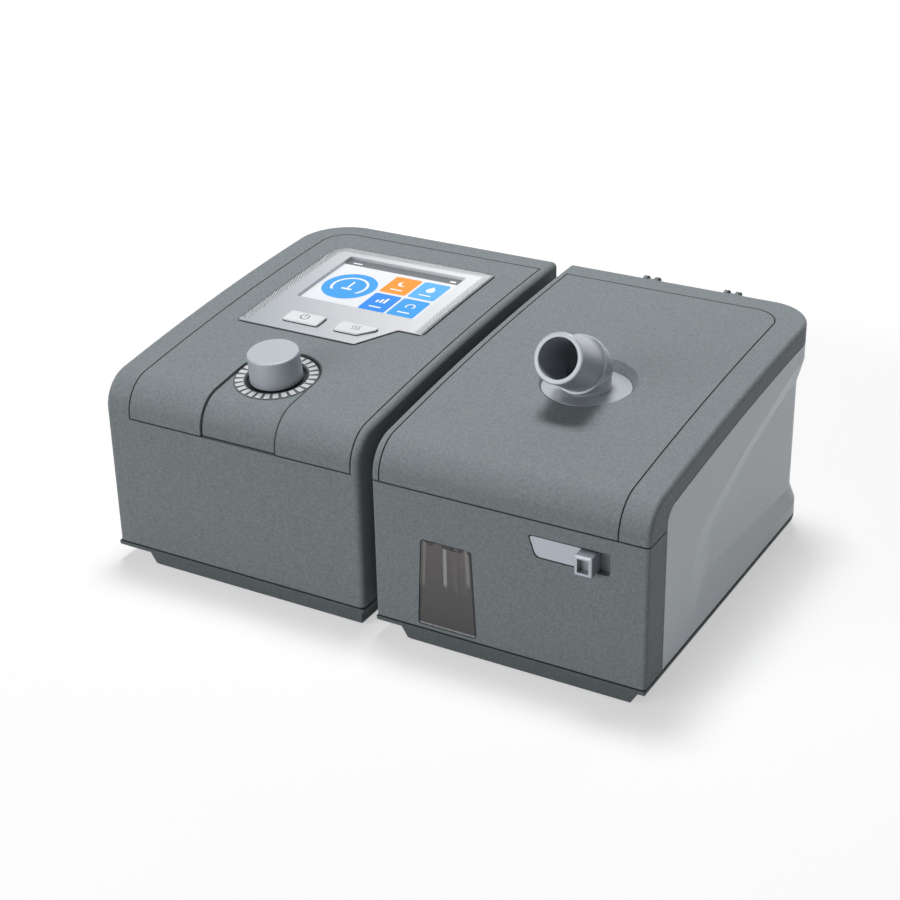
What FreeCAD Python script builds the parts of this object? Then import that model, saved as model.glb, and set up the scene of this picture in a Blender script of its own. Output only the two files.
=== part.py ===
"""Bedside CPAP machine: a main unit with dial and display, and a humidifier docked at its side.

Millimetres. X runs from the main unit to the humidifier, Y from front to back, Z up.
The origin is on the floor, below the middle of the whole machine.
"""
import FreeCAD, Part
import math
import os
from collections import namedtuple
from FreeCAD import Vector as V

os.makedirs("parts", exist_ok=True)

# ------------------------------------------------------------------ the two cases
MAIN_WIDTH = 133.0        # main unit, side to side
HUMID_WIDTH = 126.0       # humidifier, side to side
UNIT_GAP = 7.0            # open gap between the two cases
DEPTH = 186.0             # both cases, front to back
MAIN_SETBACK = 0.7        # main unit's front stands this far behind the humidifier's
BACK_HEIGHT = 106.8       # top of both cases at the back
BACK_SLOPE = 1.35         # degrees, slope of the top at the back edge
TOP_RADIUS = 1460.0       # long arc of the top, side view
FRONT_RADIUS = 16.0       # short arc from the top into the front
MAIN_CORNER = 26.0        # outer back corner of the main unit, plan view
CORNER_RADIUS = 22.0      # and of the humidifier
MAIN_EDGE = 2.6           # rounding of the main unit's outer edges
EDGE_ROUND = 1.8          # and of the humidifier's
WALL = 2.5                # moulded walls
SEAM = 0.35               # visible joint line between mouldings
FIT = 0.2                 # clearance of a piece in its pocket
# ------------------------------------------------------------------ base trays
TRAY_BOTTOM = 7.0         # underside of a tray beside its plinth
TRAY_TOP = 10.0           # seam between tray and housing
PLINTH_BOTTOM = 0.6       # the rubber feet stand out below it
PLINTH_FRONT = 1.5        # plinth set back from the tray, front and back
PLINTH_ROUND = 1.5        # lower corners of the plinth's ends
PLINTH_CHAMFER = 1.2      # and its long lower edges
TRAY_ROUND = 1.2          # lower edge of the tray's rim
TRAY_GROOVE = 0.5         # height of the joint line between tray and housing
GROOVE_DEPTH = 1.2
PLINTH_FLARE = 4.0        # how far the plinth's ends slope in
MAIN_PLINTH_OUTER = 16.0  # plinth set in from the tray's left end, main unit
MAIN_PLINTH_INNER = 2.0   # and from its right end
HUMID_PLINTH_INNER = 11.2
HUMID_PLINTH_OUTER = 3.5
LIP_HEIGHT = 4.0          # tray lip that stands up inside the housing
LIP_WALL = 1.6
FOOT_RADIUS = 6.0
FOOT_SEAT = 1.0           # depth of a foot's seat in the plinth
SCREW_RADIUS = 1.5
SCREW_HEAD_RADIUS = 2.8
BOSS_RADIUS = 4.0
BOSS_TOP = 24.0
BOSS_INSET = 12.0         # boss centres from the case's sides and front
BOSS_FROM_BACK = 20.0
TRAY_BOSS_RADIUS = 5.0
RIB = 2.0
SCREW_SEAT = 7.5          # screw heads bear here, above the floor
SCREW_HEAD = 2.0
SCREW_SLOT = 0.4          # half width of the driver slot
FOOT_MARGIN = 6.0         # feet from the plinth's edges
FOOT_CHAMFER = 0.5
# ------------------------------------------------------------------ inset top panels
PANEL_THICKNESS = 2.5
LEDGE = 1.7               # ledge of the housing under a panel's rim
LEDGE_WIDTH = 4.0
PANEL_GAP_MARGIN = 3.9    # rim beside the gap between the cases
PANEL_OUTER_MARGIN = 13.5
PANEL_BACK_MARGIN = 12.5
PANEL_CORNER = 13.0
MAIN_PANEL_SEAM = 74.8    # front seam of the main panel, above the floor
# ------------------------------------------------------------------ dial
DIAL_FROM_GAP = 61.5      # dial axis, from the main unit's gap side
DIAL_FROM_FRONT = 33.0    # dial axis, from the humidifier's front plane
DIAL_RADIUS = 11.9
DIAL_TOP_RADIUS = 11.5
DIAL_HEIGHT = 12.0        # above the panel's surface
DIAL_TRAVEL = 0.8         # press
DIAL_WALL = 1.8
TONGUE_RADIUS = 19.4      # sunk tongue round the dial
TONGUE_DEPTH = 1.0
TONGUE_GROOVE = 0.6       # depth of the groove along the tongue's edge
TICK_COUNT = 28
TICK_INNER = 14.7
TICK_OUTER = 18.5
TICK_WIDTH = 2.4
TICK_RING_INNER = 14.1
TICK_RING_OUTER = 18.9
TICK_PROUD = 0.3
WELL_RADIUS = 13.2        # dark well that the dial stands in
WELL_DEPTH = 1.2
SPINDLE_RADIUS = 3.0
BUSH_RADIUS = 4.5
RUNNING = 0.05            # radial clearance of turning pairs
TICK_SEAT = 0.3
PAD_DEPTH = 5.0           # underside of the pad that carries the encoder
ENCODER_SIZE = 13.0
ENCODER_DEPTH = 7.0
BUSH_TOP = -1.2           # top of the bush, from the panel's surface
SPINDLE_BOTTOM = -11.0
SPINDLE_TOP = 8.5
SPINDLE_FLAT = 1.5        # the flat, from the axis
HUB_RADIUS = 5.5
HUB_BOTTOM = 0.5
DIAL_EDGE = 0.8
FLAT_SIDE = 10.0          # wide enough to reach across the spindle
# ------------------------------------------------------------------ display
DISPLAY_FROM_GAP = 18.8   # bezel's right edge, from the main unit's gap side
BEZEL_WIDTH = 89.0
BEZEL_FRONT = 68.5        # bezel's lower left edge, from the front plane
BEZEL_STEP = 19.0         # the lower edge steps back by this much on the right
BEZEL_STEP_FROM_RIGHT = 12.7
BEZEL_STEP_RUN = 12.0
BEZEL_LENGTH = 89.0
BEZEL_CORNER = 9.0        # back left corner
BEZEL_SMALL_CORNER = 3.0  # the others
BEZEL_PROUD = 0.4
BEZEL_SEAT = 1.3          # depth of the bezel's seat in the panel
SCREEN_WIDTH = 64.8       # 3.2 inch display, viewing area
SCREEN_LENGTH = 48.6
SCREEN_FROM_RIGHT = 11.4  # from the bezel's right edge
SCREEN_FROM_BACK = 9.0
GLASS = 1.2
GLASS_BORDER = 2.0
LCD_THICKNESS = 3.2
BUTTON_LENGTH = 8.8
BUTTON_WIDTH = 19.0
BUTTON_GAP = 0.35
BUTTON_PROUD = 1.2        # above the bezel
BUTTON_TRAVEL = 0.6
BUTTON_FRONT = 75.8       # lower edges, from the front plane
POWER_FROM_RIGHT = 49.2   # right edges, from the bezel's right edge
MODE_FROM_RIGHT = 21.4
MODE_CUT = 6.5            # cut corner of the humidity button
BOARD_DEPTH = 12.0        # control board's top below the panel's surface
BOARD_THICKNESS = 1.6
SWITCH_SIZE = 6.0
SWITCH_HEIGHT = 4.3
SWITCH_PLUNGER = 0.8
BUTTON_CORNER = 1.2
BUTTON_EDGE = 0.5
BUTTON_FLANGE = 1.2
BUTTON_LAP = 1.0
STEM_RADIUS = 1.7
SCREEN_CORNER = 1.0
LCD_GAP = 0.3
BOARD_HALF_WIDTH = 43.0   # control board, about the middle of the screen
BOARD_FRONT = 52.0
BOARD_BACK = 31.0
BOARD_MARGIN = 5.0
BOARD_BOSS = 2.5
# ------------------------------------------------------------------ blower
BLOWER_OFFSET = 9.5       # blower axis, left of the main unit's middle
BLOWER_CLEAR = 4.5        # volute from the filter's tunnel
BLOWER_BOTTOM = 34.0      # underside of the volute; the motor hangs below it
VOLUTE_CLEAR = 24.5       # from the largest radius of the spiral, inside, to half the width
VOLUTE_GROWTH = 9.0       # growth of the spiral over a turn
VOLUTE_HEIGHT = 26.0      # inside
VOLUTE_WALL = 2.0
VOLUTE_INLET = 13.0
IMPELLER_SHARE = 2 / 3    # impeller radius, as a share of the spiral's
IMPELLER_HEIGHT = 16.0
IMPELLER_HUB = 6.0
BLADE_COUNT = 11
MOTOR_RADIUS = 19.0
MOTOR_HEIGHT = 22.0
SHAFT_RADIUS = 1.5
SHAFT_CLEAR = 1.5         # hole round the shaft in the volute
MOUNT_REACH = 6.0         # rubber mounts, outside the spiral's largest radius
MOUNT_ANGLES = (150.0, 230.0, 310.0)
GROMMET_RADIUS = 5.0
GROMMET_HEIGHT = 6.0
GROMMET_NECK = 3.4
POST_RADIUS = 2.2
EAR_PLATE = 3.0
MOTOR_CHAMFER = 1.5
SHAFT_END = 3.0           # shaft ends this far above the motor's bottom
IMPELLER_GAP = 3.0        # impeller above the volute's floor
BLADE_WALL = 1.4
BLADE_CURVE = 0.75        # radius of the blades' arc, as a share of the impeller's
TUBE_LENGTH = 1.0         # gap between the blower's tube and the spigot
# ------------------------------------------------------------------ air path between the cases
PORT_BORE = 9.0           # inside radius
SPIGOT_WALL = 2.0
SPIGOT_ENTRY = 12.0       # how far the spigot enters the main unit
SEAL_WALL = 2.0
SEAL_LENGTH = 16.0
PORT_CLEAR = 0.5          # hole in the housing round the spigot
TONGUE_DOCK = (18.0, 3.0, 5.0)   # docking tongues: width, height, entry into the main unit
DOCK_FROM_FRONT = (30.0, 110.0)
DOCK_HEIGHT = 22.0
# ------------------------------------------------------------------ back of the main unit
FILTER_WIDTH = 44.0
FILTER_HEIGHT = 26.0
FILTER_DEPTH = 6.0
FILTER_FROM_OUTER = 66.0  # filter's centre, from the main unit's outer side
FILTER_CENTRE_HEIGHT = 66.0
GRILLE_BAR = 1.8
GRILLE_COUNT = 7
TUNNEL_DEPTH = 11.0       # filter's pocket, from the back
FILTER_STOP = 2.0
COVER_RIM = 1.5
COVER_PLATE = 2.0
JACK_FROM_OUTER = 98.0
JACK_HEIGHT = 26.0
JACK_BORE = 2.75
JACK_PIN = 1.0
JACK_SIZE = 11.0
JACK_LENGTH = 14.0
JACK_NOSE = 4.5
JACK_BORE_DEPTH = 10.0
MAIN_BOARD_HEIGHT = 14.0  # main board above the floor
MAIN_BOARD_SIDE = 24.0    # main board, from both sides of the case
MAIN_BOARD_FRONT = 8.0    # and from its front
MAIN_BOARD_LENGTH = 56.0
MAIN_BOARD_CHIPS = ((14.0, 9.0), (18.0, 12.0), (10.0, 6.0), (12.0, 16.0))
# ------------------------------------------------------------------ humidifier
LID_SEAM = 75.0           # front seam of the lid, above the floor
LID_SKIRT = 9.5           # side skirt of the lid, below the top's surface
STRIP = 16.7              # dark strip at the front of the right side
STRIP_RADIUS = 8.0        # top front corner of the side panel
SIDE_SKIN = 2.2           # side panel's wall
SIDE_DEPTH = 5.6          # room for the side panel outside the housing wall
SIDE_WRAP = 3.0           # the panel ends this far past the back corner
SCOOP_DEPTH = 2.8
PAD_SIZE = 5.0
SIDE_PADS = ((24.0, 20.0), (24.0, 66.0), (90.0, 14.0), (150.0, 14.0))
WINDOW_HALF_TOP = 11.7
WINDOW_HALF_BOTTOM = 13.8
WINDOW_CENTRE = 35.0      # from the humidifier's gap side
WINDOW_BOTTOM = 12.0
WINDOW_TOP = 52.7
WINDOW_FLANGE = 2.0
WINDOW_PLATE = 1.5
WINDOW_CORNER = 1.5
# ------------------------------------------------------------------ latch
LATCH_LEFT = 73.2         # pocket's left end, from the humidifier's gap side
LATCH_LENGTH = 36.0
LATCH_BOTTOM = 58.6
LATCH_HEIGHT = 9.6
LATCH_POCKET = 2.6
LATCH_TRAVEL = 4.6
LATCH_BAR = 2.4
LATCH_SLANT = 3.2
BLOCK_WIDTH = 7.8
BLOCK_PROUD = 5.8
BLOCK_FRAME = 1.4
BLOCK_EDGE = 0.8
BLOCK_HOLLOW = 3.0
LATCH_CORNER = 3.0
# ------------------------------------------------------------------ water chamber
CHAMBER_WALL = 2.0
CHAMBER_CORNER = 10.0
CHAMBER_CLEAR = 15.0      # room round the chamber, sides of its bay
CHAMBER_FRONT = 4.5       # chamber's front, from the humidifier's front plane
CHAMBER_LENGTH = 165.0
CHAMBER_SEAL = 1.0
CHAMBER_LID = 2.0
PORT_RISE = 3.0           # chamber's outlet above its lid
PLATE_RADIUS = 36.0
PLATE_THICKNESS = 1.5
PLATE_RIM = 2.0
HEATER_TOP = 13.0
HEATER_THICKNESS = 3.0
HEATER_RADIUS = 38.0
HEATER_FROM_FRONT = 77.5
FRAME_INSET = 8.0         # heater frame, from the plinth's inside
# ------------------------------------------------------------------ lid and hinge
HINGE_REACH = 7.5         # ears stand out behind the back by this much
HINGE_RADIUS = 3.5
PIN_RADIUS = 1.25
EAR_THICKNESS = 1.9
EAR_SPACING = 5.6         # centre to centre of a hinge's two ears
EAR_GAP = 0.25
HINGE_DROP = 4.5          # hinge axis below the top at the back
KNUCKLE_RADIUS = 2.4      # the lid's knuckles are lower than the ears
HINGES_FROM_GAP = (40.5, 81.5)
EAR_ROOT = 12.0           # ears reach down the back by this much
LINER_THICKNESS = 2.0
LINER_GAP = 0.3           # liner above the rim of the bay
LINER_RISE = 4.0          # lowest edge of the liner above the lid's seam
LID_POST = 3.0
POSTS_FROM_FRONT = (40.0, 150.0)
GASKET = 1.7
THROAT_BORE = 9.5
THROAT_WALL = 2.5
CUP_BORE = 14.0           # cup round the elbow's neck, part of the liner
CUP_WALL = 2.0
CUP_FLOOR = 2.0
CUP_DEPTH = 10.0
THROAT_LENGTH = 2.5       # throat below the cup
THROAT_GAP = 0.3
# ------------------------------------------------------------------ outlet
OUTLET_FROM_GAP = 60.8
OUTLET_FROM_FRONT = 78.0
SEAT_RADIUS = 19.6
SEAT_DROP = 1.7           # level face of the outlet seat below the lid's surface
SEAT_THICKNESS = 2.0
DISH_FLOOR = 2.0
DISH_WALL = 3.5
DISH_SPREAD = 0.7         # spread of the dish's wall for each millimetre up
DISH_LEAN = 0.2           # and its shift towards the back
STUB_RADIUS = 10.7
TUBE_BORE = 8.85
BEND_RISE = 9.3           # bend above the seat
TIP_ANGLE = 28.0          # degrees above level
TIP_LENGTH = 31.3         # from the bend to the mouth
TIP_RADIUS = 11.0         # 22 mm conical connector
MOUTH_ROUND = 0.7
TIP_TAPER = 0.8           # the cone grows by this much in radius to the collar
COLLAR_RADIUS = 12.8
COLLAR_FROM_MOUTH = 21.5
TIP_LAND = 8.0            # straight length at the mouth
COLLAR_LENGTH = 3.0
BEND_RADIUS = 11.2
NECK_DEPTH = 10.5         # how far the elbow reaches down into the lid
SNAP_RADIUS = 13.2        # ring that keeps the elbow in the lid
SNAP_HEIGHT = 1.2

# scoop in the side panel: corners as distance from the front plane, height and radius
SCOOP_RIM = ((156.0, 88.4, 60.0), (101.0, 74.7, 150.0), (46.8, 56.2, 20.0), (45.0, 19.4, 3.5),
             (156.0, 16.2, 60.0))
SCOOP_FLOOR = ((156.0, 77.3, 55.0), (113.0, 66.9, 60.0), (67.0, 49.8, 12.0), (68.0, 30.6, 2.5),
               (156.0, 23.8, 60.0))

# ------------------------------------------------------------------ derived places
MAIN_X0 = -(MAIN_WIDTH + UNIT_GAP + HUMID_WIDTH) / 2
MAIN_X1 = MAIN_X0 + MAIN_WIDTH
HUMID_X0 = MAIN_X1 + UNIT_GAP
HUMID_X1 = HUMID_X0 + HUMID_WIDTH
FRONT_Y = -(DEPTH + HINGE_REACH - BLOCK_PROUD) / 2
BACK_Y = FRONT_Y + DEPTH
MAIN_FRONT_Y = FRONT_Y + MAIN_SETBACK
ROOF = PANEL_THICKNESS + LEDGE
Case = namedtuple("Case", "x0 x1 front_y outer_right corner edge")
MAIN = Case(MAIN_X0, MAIN_X1, MAIN_FRONT_Y, False, MAIN_CORNER, MAIN_EDGE)
HUMID = Case(HUMID_X0, HUMID_X1, FRONT_Y, True, CORNER_RADIUS, EDGE_ROUND)
MAIN_PLINTH = (MAIN_X0 + MAIN_PLINTH_OUTER, MAIN_X1 - MAIN_PLINTH_INNER, PLINTH_FLARE, 0.0,
               MAIN_FRONT_Y + PLINTH_FRONT, BACK_Y - PLINTH_FRONT)
HUMID_PLINTH = (HUMID_X0 + HUMID_PLINTH_INNER, HUMID_X1 - HUMID_PLINTH_OUTER, PLINTH_FLARE,
                PLINTH_FLARE, FRONT_Y + PLINTH_FRONT, BACK_Y - PLINTH_FRONT)
DIAL_X = MAIN_X1 - DIAL_FROM_GAP
DIAL_Y = FRONT_Y + DIAL_FROM_FRONT
BEZEL_X1 = MAIN_X1 - DISPLAY_FROM_GAP
SCREEN_Y = FRONT_Y + BEZEL_FRONT + BEZEL_LENGTH - SCREEN_FROM_BACK - SCREEN_LENGTH / 2
LCD_TOP = -PANEL_THICKNESS - LCD_GAP
POWER_BUTTON = (POWER_FROM_RIGHT, 0.0)
HUMIDITY_BUTTON = (MODE_FROM_RIGHT, MODE_CUT)
BUTTONS = (POWER_BUTTON, HUMIDITY_BUTTON)
VOLUTE_RADIUS = MAIN_WIDTH / 2 - VOLUTE_CLEAR
IMPELLER_RADIUS = VOLUTE_RADIUS * IMPELLER_SHARE
MOUNT_RADIUS = VOLUTE_RADIUS + MOUNT_REACH
BLOWER_X = (MAIN_X0 + MAIN_X1) / 2 - BLOWER_OFFSET
BLOWER_Y = BACK_Y - TUNNEL_DEPTH - WALL - BLOWER_CLEAR - VOLUTE_WALL - VOLUTE_RADIUS
PORT_Y = BLOWER_Y + VOLUTE_RADIUS - PORT_BORE
PORT_HEIGHT = BLOWER_BOTTOM + VOLUTE_WALL + VOLUTE_HEIGHT / 2
VOLUTE_END = BLOWER_X + VOLUTE_RADIUS + VOLUTE_WALL
TUBE_END = MAIN_X1 - SPIGOT_ENTRY - TUBE_LENGTH
MOUNT_Z = BLOWER_BOTTOM - GROMMET_HEIGHT
IMPELLER_Z = BLOWER_BOTTOM + VOLUTE_WALL + IMPELLER_GAP
SHAFT_BOTTOM = BLOWER_BOTTOM - MOTOR_HEIGHT + SHAFT_END
FILTER_X = MAIN_X0 + FILTER_FROM_OUTER
JACK_X = MAIN_X0 + JACK_FROM_OUTER
MAIN_BOARD = (MAIN_X0 + MAIN_BOARD_SIDE, MAIN_X1 - MAIN_BOARD_SIDE, MAIN_FRONT_Y + MAIN_BOARD_FRONT,
              MAIN_FRONT_Y + MAIN_BOARD_FRONT + MAIN_BOARD_LENGTH)
AXIS_Y = BACK_Y + HINGE_REACH - HINGE_RADIUS
HINGE_XS = [HUMID_X0 + x for x in HINGES_FROM_GAP]
CHAMBER_X0 = HUMID_X0 + WALL + CHAMBER_CLEAR
CHAMBER_X1 = HUMID_X1 - SIDE_DEPTH - WALL - CHAMBER_CLEAR
HEATER_X = (CHAMBER_X0 + CHAMBER_X1) / 2
HEATER_Y = FRONT_Y + HEATER_FROM_FRONT
OUTLET_X = HUMID_X0 + OUTLET_FROM_GAP
OUTLET_Y = FRONT_Y + OUTLET_FROM_FRONT
ARC_Y = BACK_Y + TOP_RADIUS * math.sin(math.radians(BACK_SLOPE))
ARC_Z = BACK_HEIGHT - TOP_RADIUS * math.cos(math.radians(BACK_SLOPE))
SEAT_HEIGHT = ARC_Z + math.sqrt(TOP_RADIUS ** 2 - (OUTLET_Y - ARC_Y) ** 2) - SEAT_DROP
BEND_HEIGHT = SEAT_HEIGHT + BEND_RISE
CUP_TOP = SEAT_HEIGHT - SEAT_THICKNESS - DISH_FLOOR
CUP_LOW = CUP_TOP - CUP_DEPTH
THROAT_LOW = CUP_LOW - THROAT_LENGTH
PORT_TOP = THROAT_LOW - THROAT_GAP - GASKET
CHAMBER_TOP = PORT_TOP - PORT_RISE - CHAMBER_LID - CHAMBER_SEAL
HINGE_HEIGHT = BACK_HEIGHT - HINGE_DROP
LINER_FRONT = LID_SEAM + LINER_RISE
LINER_DROP = LID_SKIRT - LINER_THICKNESS - LINER_GAP
UP = V(0, 0, 1)
FAR = 400.0               # longer than anything here


# ------------------------------------------------------------------ helpers
def box(x0, x1, y0, y1, z0, z1):
    return Part.makeBox(x1 - x0, y1 - y0, z1 - z0, V(x0, y0, z0))


def rod(radius, start, end):
    axis = V(*end) - V(*start)
    return Part.makeCylinder(radius, axis.Length, V(*start), axis)


def cone(r0, r1, start, end):
    axis = V(*end) - V(*start)
    return Part.makeCone(r0, r1, axis.Length, V(*start), axis)


def ring(outer, inner, start, end):
    return rod(outer, start, end).cut(rod(inner, start, end))


def fused(shapes):
    shapes = list(shapes)
    first = shapes[0]
    return first.multiFuse(shapes[1:]).removeSplitter() if len(shapes) > 1 else first


def outline(points, radii):
    """Closed wire through the points, each corner rounded by its own radius."""
    count = len(points)
    edges = []
    ends = []
    for i, (point, radius) in enumerate(zip(points, radii)):
        before = (points[i - 1] - point).normalize()
        after = (points[(i + 1) % count] - point).normalize()
        if radius <= 0:
            ends.append((point, point, None))
            continue
        half = before.getAngle(after) / 2
        reach = radius / math.tan(half)
        middle = point + (before + after).normalize() * (radius / math.sin(half) - radius)
        ends.append((point + before * reach, point + after * reach, middle))
    for i, (start, end, middle) in enumerate(ends):
        if middle is not None:
            edges.append(Part.Arc(start, middle, end).toShape())
        next_start = ends[(i + 1) % count][0]
        if (next_start - end).Length > 1e-6:
            edges.append(Part.LineSegment(end, next_start).toShape())
    return Part.Wire(edges)


def plan_prism(points, radii, z0, z1):
    """Upright prism over a rounded outline given as (x, y) pairs."""
    wire = outline([V(x, y, z0) for x, y in points], radii)
    return Part.Face(wire).extrude(V(0, 0, z1 - z0))


def plan_box(x0, x1, y0, y1, z0, z1, radii):
    """Upright box with corner radii: front left, front right, back right, back left."""
    return plan_prism([(x0, y0), (x1, y0), (x1, y1), (x0, y1)], radii, z0, z1)


def arc_centres(front_y, front_radius, drop):
    """Centres of the long top arc and of the front arc for a side profile."""
    top = V(0, ARC_Y, ARC_Z)
    y = front_y + front_radius
    reach = TOP_RADIUS - drop - front_radius
    z = top.z + math.sqrt(reach ** 2 - (y - top.y) ** 2)
    return top, V(0, y, z)


def top_z(y, drop=0.0):
    """Height of the cases' top surface, or of a surface below it, at a given y."""
    return ARC_Z + math.sqrt((TOP_RADIUS - drop) ** 2 - (y - ARC_Y) ** 2)


def under_profile(x0, x1, front_y, front_radius, drop, z0, back_y=None):
    """Solid under the side profile lowered by drop, from x0 to x1 and down to z0."""
    back_y = BACK_Y if back_y is None else back_y
    top, front = arc_centres(front_y, front_radius, drop)
    radius = TOP_RADIUS - drop
    toward = (front - top).normalize()
    join = top + toward * radius
    lean = (toward + V(0, -1, 0)).normalize()
    end = V(0, back_y, top.z + math.sqrt(radius ** 2 - (back_y - top.y) ** 2))
    half = ((join - top).normalize() + (end - top).normalize()).normalize()
    nose = V(0, front_y, front.z)
    foot = V(0, front_y, z0)
    heel = V(0, back_y, z0)
    wire = Part.Wire([
        Part.LineSegment(foot, nose).toShape(),
        Part.Arc(nose, front + lean * front_radius, join).toShape(),
        Part.Arc(join, top + half * radius, end).toShape(),
        Part.LineSegment(end, heel).toShape(),
        Part.LineSegment(heel, foot).toShape()])
    wire.translate(V(x0, 0, 0))
    return Part.Face(wire).extrude(V(x1 - x0, 0, 0))


def skin(x0, x1, front_y, outer_drop, inner_drop, z0):
    """Curved sheet that follows the side profile between two depths, above z0."""
    outer = under_profile(x0, x1, front_y + outer_drop, FRONT_RADIUS - outer_drop, outer_drop, 0)
    inner = under_profile(x0 - 1, x1 + 1, front_y + inner_drop, FRONT_RADIUS - inner_drop,
                          inner_drop, -1)
    return outer.cut(inner).common(box(x0, x1, -FAR, FAR, z0, FAR))


def surface_frame(x, y):
    """Placement on the top surface: its local Z is the normal, its local X is X."""
    point = V(x, y, top_z(y))
    normal = (point - V(x, ARC_Y, ARC_Z)).normalize()
    tilt = math.degrees(math.atan2(-normal.y, normal.z))
    return FreeCAD.Placement(point, FreeCAD.Rotation(V(1, 0, 0), tilt))


def placed(shape, frame):
    return shape.transformed(frame.toMatrix())


def front_prism(points, radii, y0, y1):
    """Prism along Y over a rounded outline given as (x, z) pairs."""
    wire = outline([V(x, y0, z) for x, z in points], radii)
    return Part.Face(wire).extrude(V(0, y1 - y0, 0))


def side_prism(points, radii, x0, x1):
    """Prism along X over a rounded outline given as (y, z) pairs."""
    wire = outline([V(x0, y, z) for y, z in points], radii)
    return Part.Face(wire).extrude(V(x1 - x0, 0, 0))


def grown_prism(points, radii, grow, z0, z1):
    """Upright prism over a rounded outline, grown outwards all round."""
    wire = outline([V(x, y, z0) for x, y in points], radii)
    if grow:
        wire = wire.makeOffset2D(grow, join=2)
    return Part.Face(wire).extrude(V(0, 0, z1 - z0))


def sharp_edges(shape, above):
    """Edges that reach higher than a given level and where two faces meet at an angle."""
    found = []
    for edge in shape.Edges:
        heights = [vertex.Point.z for vertex in edge.Vertexes]
        if max(heights) < above:
            continue
        middle = edge.valueAt((edge.FirstParameter + edge.LastParameter) / 2)
        normals = []
        for face in shape.ancestorsOfType(edge, Part.Face):
            u, v = face.Surface.parameter(middle)
            normals.append(face.normalAt(u, v))
        if len(normals) == 2 and math.degrees(normals[0].getAngle(normals[1])) > 20:
            found.append(edge)
    return found


# ------------------------------------------------------------------ what both cases share
def case_plan(case, inset, z0, z1):
    """Plan of a case as an upright prism, set in all round; one back corner is large."""
    large = case.corner - inset
    radii = (0, 0, large, 0) if case.outer_right else (0, 0, 0, large)
    return plan_box(case.x0 + inset, case.x1 - inset, case.front_y + inset, BACK_Y - inset,
                    z0, z1, radii)


def case_form(case, z0):
    """Outside of a case, with its edges rounded."""
    body = under_profile(case.x0, case.x1, case.front_y, FRONT_RADIUS, 0.0, z0)
    body = body.common(case_plan(case, 0.0, z0 - 1, FAR))
    return body.makeFillet(case.edge, sharp_edges(body, z0 + 1))


def case_room(case, seam, z0):
    """Room inside a case: walls WALL thick, and ROOF thick where a panel is let in."""
    high = under_profile(case.x0, case.x1, case.front_y + ROOF, FRONT_RADIUS - ROOF, ROOF, z0)
    low = box(case.x0, case.x1, case.front_y, BACK_Y, z0, seam - ROOF)
    return fused([high, low]).common(case_plan(case, WALL, z0, FAR))


def panel_sheet(case, seam, grow, outer_drop, inner_drop):
    """Sheet in the place of a case's top panel, grown or shrunk all round."""
    left, right = PANEL_OUTER_MARGIN, PANEL_GAP_MARGIN
    radii = [0, 0, 0, PANEL_CORNER + grow]
    if case.outer_right:
        left, right = right, left
        radii = [0, 0, PANEL_CORNER + grow, 0]
    sheet = skin(case.x0, case.x1, case.front_y, outer_drop, inner_drop, seam - grow)
    return sheet.common(plan_box(case.x0 + left - grow, case.x1 - right + grow,
                                 case.front_y - LEDGE_WIDTH, BACK_Y - PANEL_BACK_MARGIN + grow,
                                 0, FAR, radii))


def let_in(body, case, seam):
    """Cut the seat of the top panel and the opening inside its ledge."""
    body = body.cut(panel_sheet(case, seam, SEAM, -1.0, PANEL_THICKNESS))
    return body.cut(panel_sheet(case, seam, -LEDGE_WIDTH, -1.0, ROOF + 1.0))


def plinth_form(case, plinth, inset, z0, z1):
    """Plinth below a tray, with sloping ends; inset gives the room inside it."""
    left, right, flare_left, flare_right, y0, y1 = plinth
    left, right, y0, y1 = left + inset, right - inset, y0 + inset, y1 - inset
    ends = [(left, z1), (left, TRAY_BOTTOM), (left + flare_left, z0),
            (right - flare_right, z0), (right, TRAY_BOTTOM), (right, z1)]
    form = front_prism(ends, [0, 0, PLINTH_ROUND, PLINTH_ROUND, 0, 0], y0, y1)
    low = z0 + PLINTH_CHAMFER
    sides = [(y0, z1), (y0, low), (y0 + PLINTH_CHAMFER, z0), (y1 - PLINTH_CHAMFER, z0), (y1, low),
             (y1, z1)]
    form = form.common(side_prism(sides, [0] * len(sides), left, right))
    return form.common(case_plan(case, PLINTH_FRONT + inset, 0, z1))


def screw_places(case):
    return [(x, y) for x in (case.x0 + BOSS_INSET, case.x1 - BOSS_INSET)
            for y in (case.front_y + BOSS_INSET, BACK_Y - BOSS_FROM_BACK)]


def foot_places(plinth):
    left, right, flare_left, flare_right, y0, y1 = plinth
    margin = FOOT_RADIUS + FOOT_MARGIN
    return [(x, y) for x in (left + flare_left + margin, right - flare_right - margin)
            for y in (y0 + margin, y1 - margin)]


def tray_rim(case):
    """Rim flush with the case, round below, with the groove of the joint line on top."""
    rim = case_plan(case, 0.0, TRAY_BOTTOM, TRAY_TOP)
    lowest = [edge for edge in rim.Edges if edge.BoundBox.ZMax < TRAY_BOTTOM + FIT]
    groove = case_plan(case, 0.0, TRAY_TOP - TRAY_GROOVE, FAR).cut(
        case_plan(case, GROOVE_DEPTH, 0, FAR))
    return rim.makeFillet(TRAY_ROUND, lowest).cut(groove)


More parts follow.
